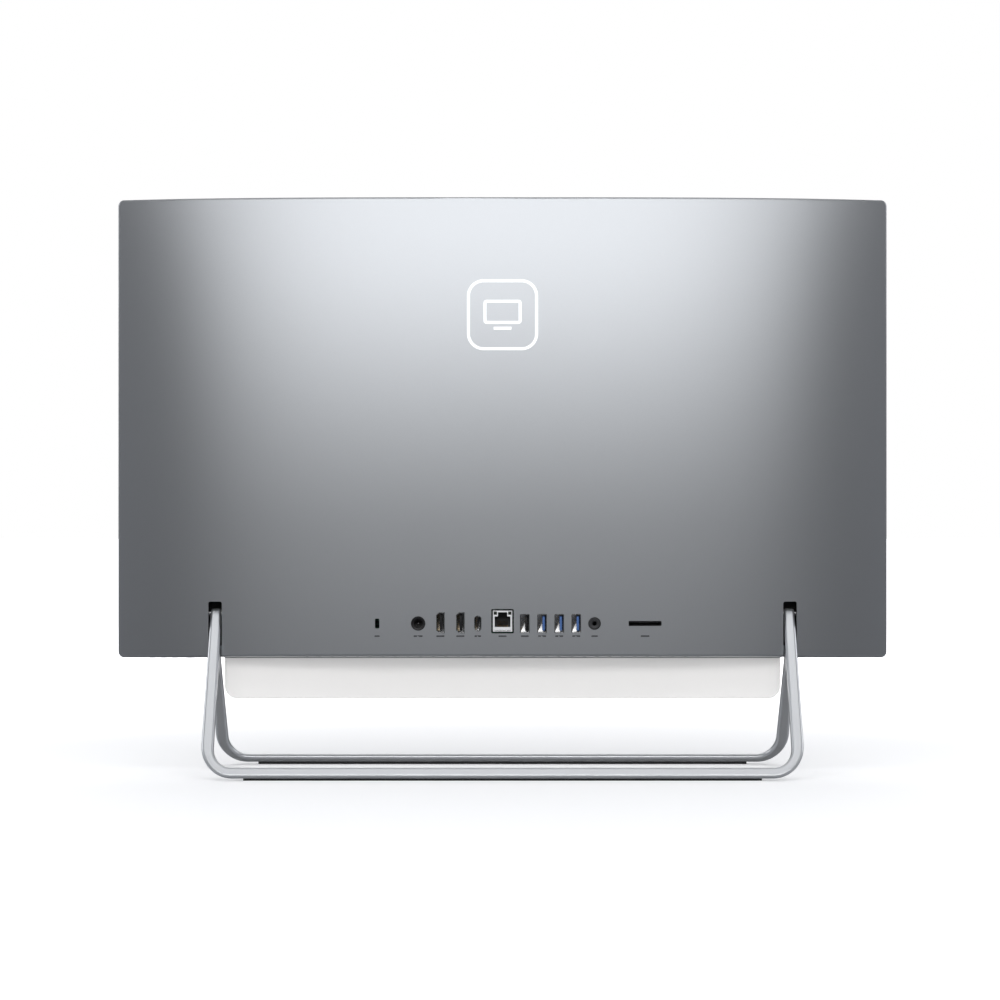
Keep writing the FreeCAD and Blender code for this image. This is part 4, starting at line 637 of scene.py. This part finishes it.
def sleeve(node, corner, cut_corner=0.0):
    """Metal sleeve in a socket's box: rounded corners, or two cut ones on its +X side."""
    low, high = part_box(node)
    piece = start_block(node + "_sleeve", low, high)
    choose(piece, "EDGE", lambda edge: runs_along(edge, 1) and edge.verts[0].co.x > high.x - 1e-5)
    bpy.ops.mesh.bevel(offset=cut_corner or corner, segments=1 if cut_corner else 6)
    choose(piece, "EDGE", lambda edge: runs_along(edge, 1) and edge.verts[0].co.x < low.x + 1e-5)
    bpy.ops.mesh.bevel(offset=SLEEVE_CORNER if cut_corner else corner, segments=6)
    choose(piece, "FACE", faces_back)
    bpy.ops.mesh.inset(thickness=SLEEVE_WALL)
    push(0, -SLEEVE_DEPTH, 0)
    end_piece(piece, nickel, "display", edge=SLEEVE_EASE, replaced=(node,))
    return low, high


def repeat_piece(piece, count, step):
    """Leave edit mode and repeat a piece at even steps."""
    bpy.ops.object.mode_set(mode="OBJECT")
    row = piece.modifiers.new("even_row", "ARRAY")
    row.count = count
    row.use_relative_offset = False
    row.use_constant_offset = True
    row.constant_offset_displace = step
    bpy.ops.object.modifier_apply(modifier=row.name)


def tongue(name, x, face_y, z, thick, tall, material, contacts, contact_back):
    """Contact tongue of a socket, and its row of contacts on the side that faces +X."""
    piece = start_block(name + "_tongue",
                        (x - thick / 2, face_y - SLEEVE_DEPTH - TONGUE_ROOT, z - tall / 2),
                        (x + thick / 2, face_y - TONGUE_BACK, z + tall / 2))
    choose(piece, "FACE", faces_back)
    push(0, TONGUE_TIP, 0)
    bpy.ops.transform.resize(value=(0.6, 1, 0.95))
    end_piece(piece, material, "display", edge=FINE_EASE)
    pitch = tall / contacts
    width = pitch * 0.5
    row_z = z - tall / 2 + pitch / 2
    row = start_block(name + "_contacts",
                      (x + thick / 2 - CONTACT_T, face_y - SLEEVE_DEPTH, row_z - width / 2),
                      (x + thick / 2 + CONTACT_T, face_y - contact_back, row_z + width / 2))
    choose(row, "FACE", faces_back)
    bpy.ops.mesh.inset(thickness=width * 0.2)
    push(0, CONTACT_T, 0)
    repeat_piece(row, contacts, (0, 0, pitch))
    end_piece(row, gold_flash, "display")


for node, material, contacts in (("usb2_port", black_nylon, 4), ("usb3_port_1", blue_nylon, 5),
                                 ("usb3_port_2", blue_nylon, 5), ("usb3_port_3", blue_nylon, 5)):
    low, high = sleeve(node, SLEEVE_CORNER)
    middle = (low + high) / 2
    tongue(node, middle.x - USB_ASIDE, high.y, middle.z, TONGUE_T, TONGUE_TALL, material, contacts,
           USB_CONTACT_BACK)
for node in ("hdmi_in_port", "hdmi_out_port"):
    low, high = sleeve(node, SLEEVE_CORNER, cut_corner=HDMI_CUT)
    middle = (low + high) / 2
    tongue(node, middle.x - HDMI_ASIDE, high.y, middle.z, TONGUE_T, TONGUE_TALL, black_nylon, 10,
           HDMI_CONTACT_BACK)
low, high = sleeve("usb_c_port", USB_C_CORNER)
middle = (low + high) / 2
tongue("usb_c_port", middle.x, high.y, middle.z, USB_C_T, USB_C_TALL, black_nylon, 12,
       USB_C_CONTACT_BACK)

# The network socket: a light grey moulding with a keyed opening, eight sprung wires at its
# floor, a lamp window in each upper corner and a bright earthing strip below.
PLUG_W = 0.0124
PLUG_H = 0.0083
PLUG_LEDGE = 0.0038           # from the lower edge of the face to the opening
LATCH_W = 0.0073
LATCH_H = 0.0033
PLUG_DEPTH = 0.0120
LAMP = 0.0026
WIRE = 0.00045
WIRE_PITCH = 0.00102
WIRES = 8
WIRE_RISE = 0.0038            # the wires slope up by this much towards the floor of the socket
WIRE_LIFT = 0.0004
WIRE_ROOT = 0.0010            # from the socket's floor to the far ends of the wires,
WIRE_END = 0.0015             # and from its mouth to their near ends
WIRE_EASE = 0.00008
LAMP_T = 0.0006
LAMP_PROUD = 0.00006          # the lamps' rims stand this far out of the face
EARTH_LOW = 0.0004
EARTH_TOP = 0.0014
EARTH_T = 0.0004
EARTH_RIM = 0.0003
EARTH_PROUD = 0.00008
EARTH_EASE = 0.00006
# painted shade: the walls deep in the plug opening get black nylon instead of the grey moulding, kept clear
# of its floor and mouth
FLOOR_MARGIN = 0.0010         # the plug opening is black inside, except this close to its floor
MOUTH_MARGIN = 0.0003         # and this close to its mouth
# ABS in light grey: smooth, satin
grey_abs, tree, shader = new_material("light_grey_abs", Roughness=0.42)
add_paint_grain(tree, shader, "#c9cacb", "#bdbebf", 0.8, 0.01)
# the lamps' windows: smoked plastic, nearly black while the lamps are off
lamp_lens, tree, shader = new_material("smoked_lamp_lens", Roughness=0.12)
add_paint_grain(tree, shader, "#22261f", "#191c18", 0.8, 0.002)
low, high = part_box("network_port")
plug_low = low.z + PLUG_LEDGE
plug_top = plug_low + PLUG_H
socket = start_block("network_socket_body", low, high)
for place, facing in (((PLUG_W / 2, 0, 0), (1, 0, 0)), ((-PLUG_W / 2, 0, 0), (1, 0, 0)),
                      ((LATCH_W / 2, 0, 0), (1, 0, 0)), ((-LATCH_W / 2, 0, 0), (1, 0, 0)),
                      ((0, 0, plug_low), (0, 0, 1)), ((0, 0, plug_top), (0, 0, 1)),
                      ((0, 0, plug_top + LATCH_H), (0, 0, 1))):
    bpy.ops.mesh.select_all(action="SELECT")
    bpy.ops.mesh.bisect(plane_co=place, plane_no=facing)


def in_opening(face):
    at = face.calc_center_median()
    in_plug = abs(at.x) < PLUG_W / 2 and plug_low < at.z < plug_top
    in_latch = abs(at.x) < LATCH_W / 2 and plug_top < at.z < plug_top + LATCH_H
    return face.normal.y > 0.99 and (in_plug or in_latch)


choose(socket, "FACE", in_opening)
push(0, -PLUG_DEPTH, 0)
end_piece(socket, grey_abs, "display", edge=SOCKET_EASE,
          replaced=("network_port",))
# painted shade: black nylon on the walls inside the opening stands in for the shade deep in the hole
socket.data.materials.append(black_nylon)
for face in socket.data.polygons:
    between = plug_low * 0.999 < face.center.z < plug_top + LATCH_H * 1.1
    inside = abs(face.center.x) < PLUG_W * 0.51 and between
    if inside and low.y + FLOOR_MARGIN < face.center.y < high.y - MOUTH_MARGIN:
        face.material_index = 1

first_x = -(WIRES - 1) / 2 * WIRE_PITCH
wires = start_block("network_socket_wires",
                    (first_x - WIRE / 2, high.y - PLUG_DEPTH + WIRE_ROOT, plug_low + WIRE_LIFT),
                    (first_x + WIRE / 2, high.y - WIRE_END, plug_low + WIRE_LIFT + WIRE))
choose(wires, "VERT", lambda vert: vert.co.y < high.y - PLUG_DEPTH / 2)
bpy.ops.transform.translate(value=(0, 0, WIRE_RISE))
repeat_piece(wires, WIRES, (WIRE_PITCH, 0, 0))
end_piece(wires, gold_flash, "display", edge=WIRE_EASE)

for end, label in ((-1, "right"), (1, "left")):
    at_x = end * (high.x - LAMP * 0.75)
    lamp = start_block("network_lamp_" + label, (at_x - LAMP / 2, high.y - LAMP_T, high.z - LAMP * 1.25),
                       (at_x + LAMP / 2, high.y + LAMP_PROUD, high.z - LAMP * 0.25))
    choose(lamp, "FACE", faces_back)
    bpy.ops.mesh.inset(thickness=LAMP * 0.12)
    push(0, LAMP_PROUD, 0)
    end_piece(lamp, lamp_lens, "display", edge=WIRE_EASE)
earth = start_block("network_earthing_strip", (-PLUG_W / 2, high.y - EARTH_T, low.z + EARTH_LOW),
                    (PLUG_W / 2, high.y + EARTH_PROUD, low.z + EARTH_TOP))
choose(earth, "FACE", faces_back)
bpy.ops.mesh.inset(thickness=EARTH_RIM)
push(0, EARTH_PROUD, 0)
end_piece(earth, nickel, "display", edge=EARTH_EASE)

# The round sockets: a power jack with a sprung sleeve and a centre pin, and a headphone jack.
# Both are mouldings soldered to the main board.
JACK_STEPS = ((0.0047, 0.0004), (0.0037, 0.0110))        # radius and depth of each step inwards
HEADPHONE_STEPS = ((0.0030, 0.0003), (0.0018, 0.0140))
PIN_R = 0.0006
PIN_LENGTH = 0.0090
PIN_BACK = 0.0070             # from the socket's mouth to the middle of the pin
PIN_TIP = 0.0004


def round_socket(node, name, material, steps):
    """Turned socket body. Each step narrows the mouth to a radius and then sinks it."""
    low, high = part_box(node)
    middle = (low + high) / 2
    radius = (high.x - low.x) / 2
    piece = start_cylinder(name, middle, radius, high.y - low.y, 64)
    choose(piece, "FACE", faces_back)
    for narrower, sink in steps:
        bpy.ops.mesh.inset(thickness=radius - narrower)
        push(0, -sink, 0)
        radius = narrower
    end_piece(piece, material, "display", edge=SOCKET_EASE, replaced=(node,))
    return middle, high


middle, high = round_socket("power_jack", "power_jack_body", black_nylon, JACK_STEPS)
pin = start_cylinder("power_jack_pin", (middle.x, high.y - PIN_BACK, middle.z), PIN_R, PIN_LENGTH, 24)
choose(pin, "FACE", faces_back)
push(0, PIN_TIP, 0)
bpy.ops.transform.resize(value=(0.5, 1, 0.5))
end_piece(pin, nickel, "display", edge=FINE_EASE)
# PBT, dark grey: a shade lighter than the hole inside it
grey_pbt, tree, shader = new_material("dark_grey_pbt", Roughness=0.45)
add_paint_grain(tree, shader, "#2c2d2f", "#242527", 0.8, 0.008)
round_socket("headphone_jack", "headphone_jack_body", grey_pbt, HEADPHONE_STEPS)

# The card reader: a black moulding with a wide mouth, and below its upper lip the end of a
# folded steel cover.
READER_CORNER = 0.0007
READER_WALL = 0.0006
READER_DEPTH = 0.0160
LID_INSET = 0.0012
LID_LENGTH = 0.0150           # from the mouth to the far end of the steel cover,
LID_BACK = 0.0006             # and to its near end
LID_LOW = 0.0010              # and from the top of the reader to its two faces
LID_TOP = 0.0008
LID_TIP = 0.0002
low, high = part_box("card_reader")
reader = start_block("card_reader_body", low, high)
choose(reader, "EDGE", lambda edge: runs_along(edge, 1))
bpy.ops.mesh.bevel(offset=READER_CORNER, segments=4)
choose(reader, "FACE", faces_back)
bpy.ops.mesh.inset(thickness=READER_WALL)
push(0, -READER_DEPTH, 0)
end_piece(reader, black_nylon, "display", edge=FINE_EASE, replaced=("card_reader",))
lid = start_block("card_reader_lid", (low.x + LID_INSET, high.y - LID_LENGTH, high.z - LID_LOW),
                  (high.x - LID_INSET, high.y - LID_BACK, high.z - LID_TOP))
choose(lid, "FACE", faces_back)
push(0, LID_TIP, 0)
bpy.ops.transform.resize(value=(0.97, 1, 0.6))
end_piece(lid, nickel, "display")

# Printed marks under the sockets, pad-printed in grey ink: a diamond, a bar with round ends or
# a bar in two parts each, with no letters.
MARK_Z = 0.1098
MARK_T = 0.00003
MARK_H = 0.0011
ink, tree, shader = new_material("grey_pad_print", Roughness=0.5)
add_paint_grain(tree, shader, "#34363a", "#2c2e31", 0.5, 0.001)


def printed_mark(name, x, width, kind):
    """Thin patch of ink that follows the back's curve."""
    half_height = MARK_H / 2
    mark = start_block(name, (x - width / 2, 0, MARK_Z - half_height),
                       (x + width / 2, MARK_T, MARK_Z + half_height))
    if kind == "diamond":
        choose(mark, "EDGE", lambda edge: runs_along(edge, 1))
        bpy.ops.mesh.bevel(offset=half_height * 0.98, segments=1)
    if kind == "pill":
        choose(mark, "EDGE", lambda edge: runs_along(edge, 1))
        bpy.ops.mesh.bevel(offset=half_height * 0.9, segments=5)
    if kind == "split":
        for cut_x in (x - width / 8, x + width / 8):
            bpy.ops.mesh.select_all(action="SELECT")
            bpy.ops.mesh.bisect(plane_co=(cut_x, 0, 0), plane_no=(1, 0, 0))
        choose(mark, "FACE", lambda face: abs(face.calc_center_median().x - x) < width / 8)
        bpy.ops.mesh.delete(type="FACE")
        choose(mark, "EDGE", lambda edge: edge.is_boundary)
        bpy.ops.mesh.fill()
    bpy.ops.mesh.select_all(action="SELECT")
    bpy.ops.mesh.subdivide(number_cuts=1)
    bpy.ops.object.mode_set(mode="OBJECT")
    for vert in mark.data.vertices:
        vert.co.y += back_y(vert.co.x, vert.co.z)
    end_piece(mark, ink, "display")


for node, width, kind in (("security_lock_plate", 0.0045, "diamond"), ("power_jack", 0.0070, "split"),
                          ("hdmi_in_port", 0.0065, "pill"), ("hdmi_out_port", 0.0065, "pill"),
                          ("usb_c_port", 0.0050, "split"), ("network_port", 0.0068, "diamond"),
                          ("usb2_port", 0.0062, "pill"), ("usb3_port_1", 0.0062, "split"),
                          ("usb3_port_2", 0.0062, "split"), ("usb3_port_3", 0.0062, "split"),
                          ("headphone_jack", 0.0055, "diamond"), ("card_reader", 0.0070, "pill")):
    low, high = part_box(node)
    printed_mark(node + "_mark", (low.x + high.x) / 2, width, kind)
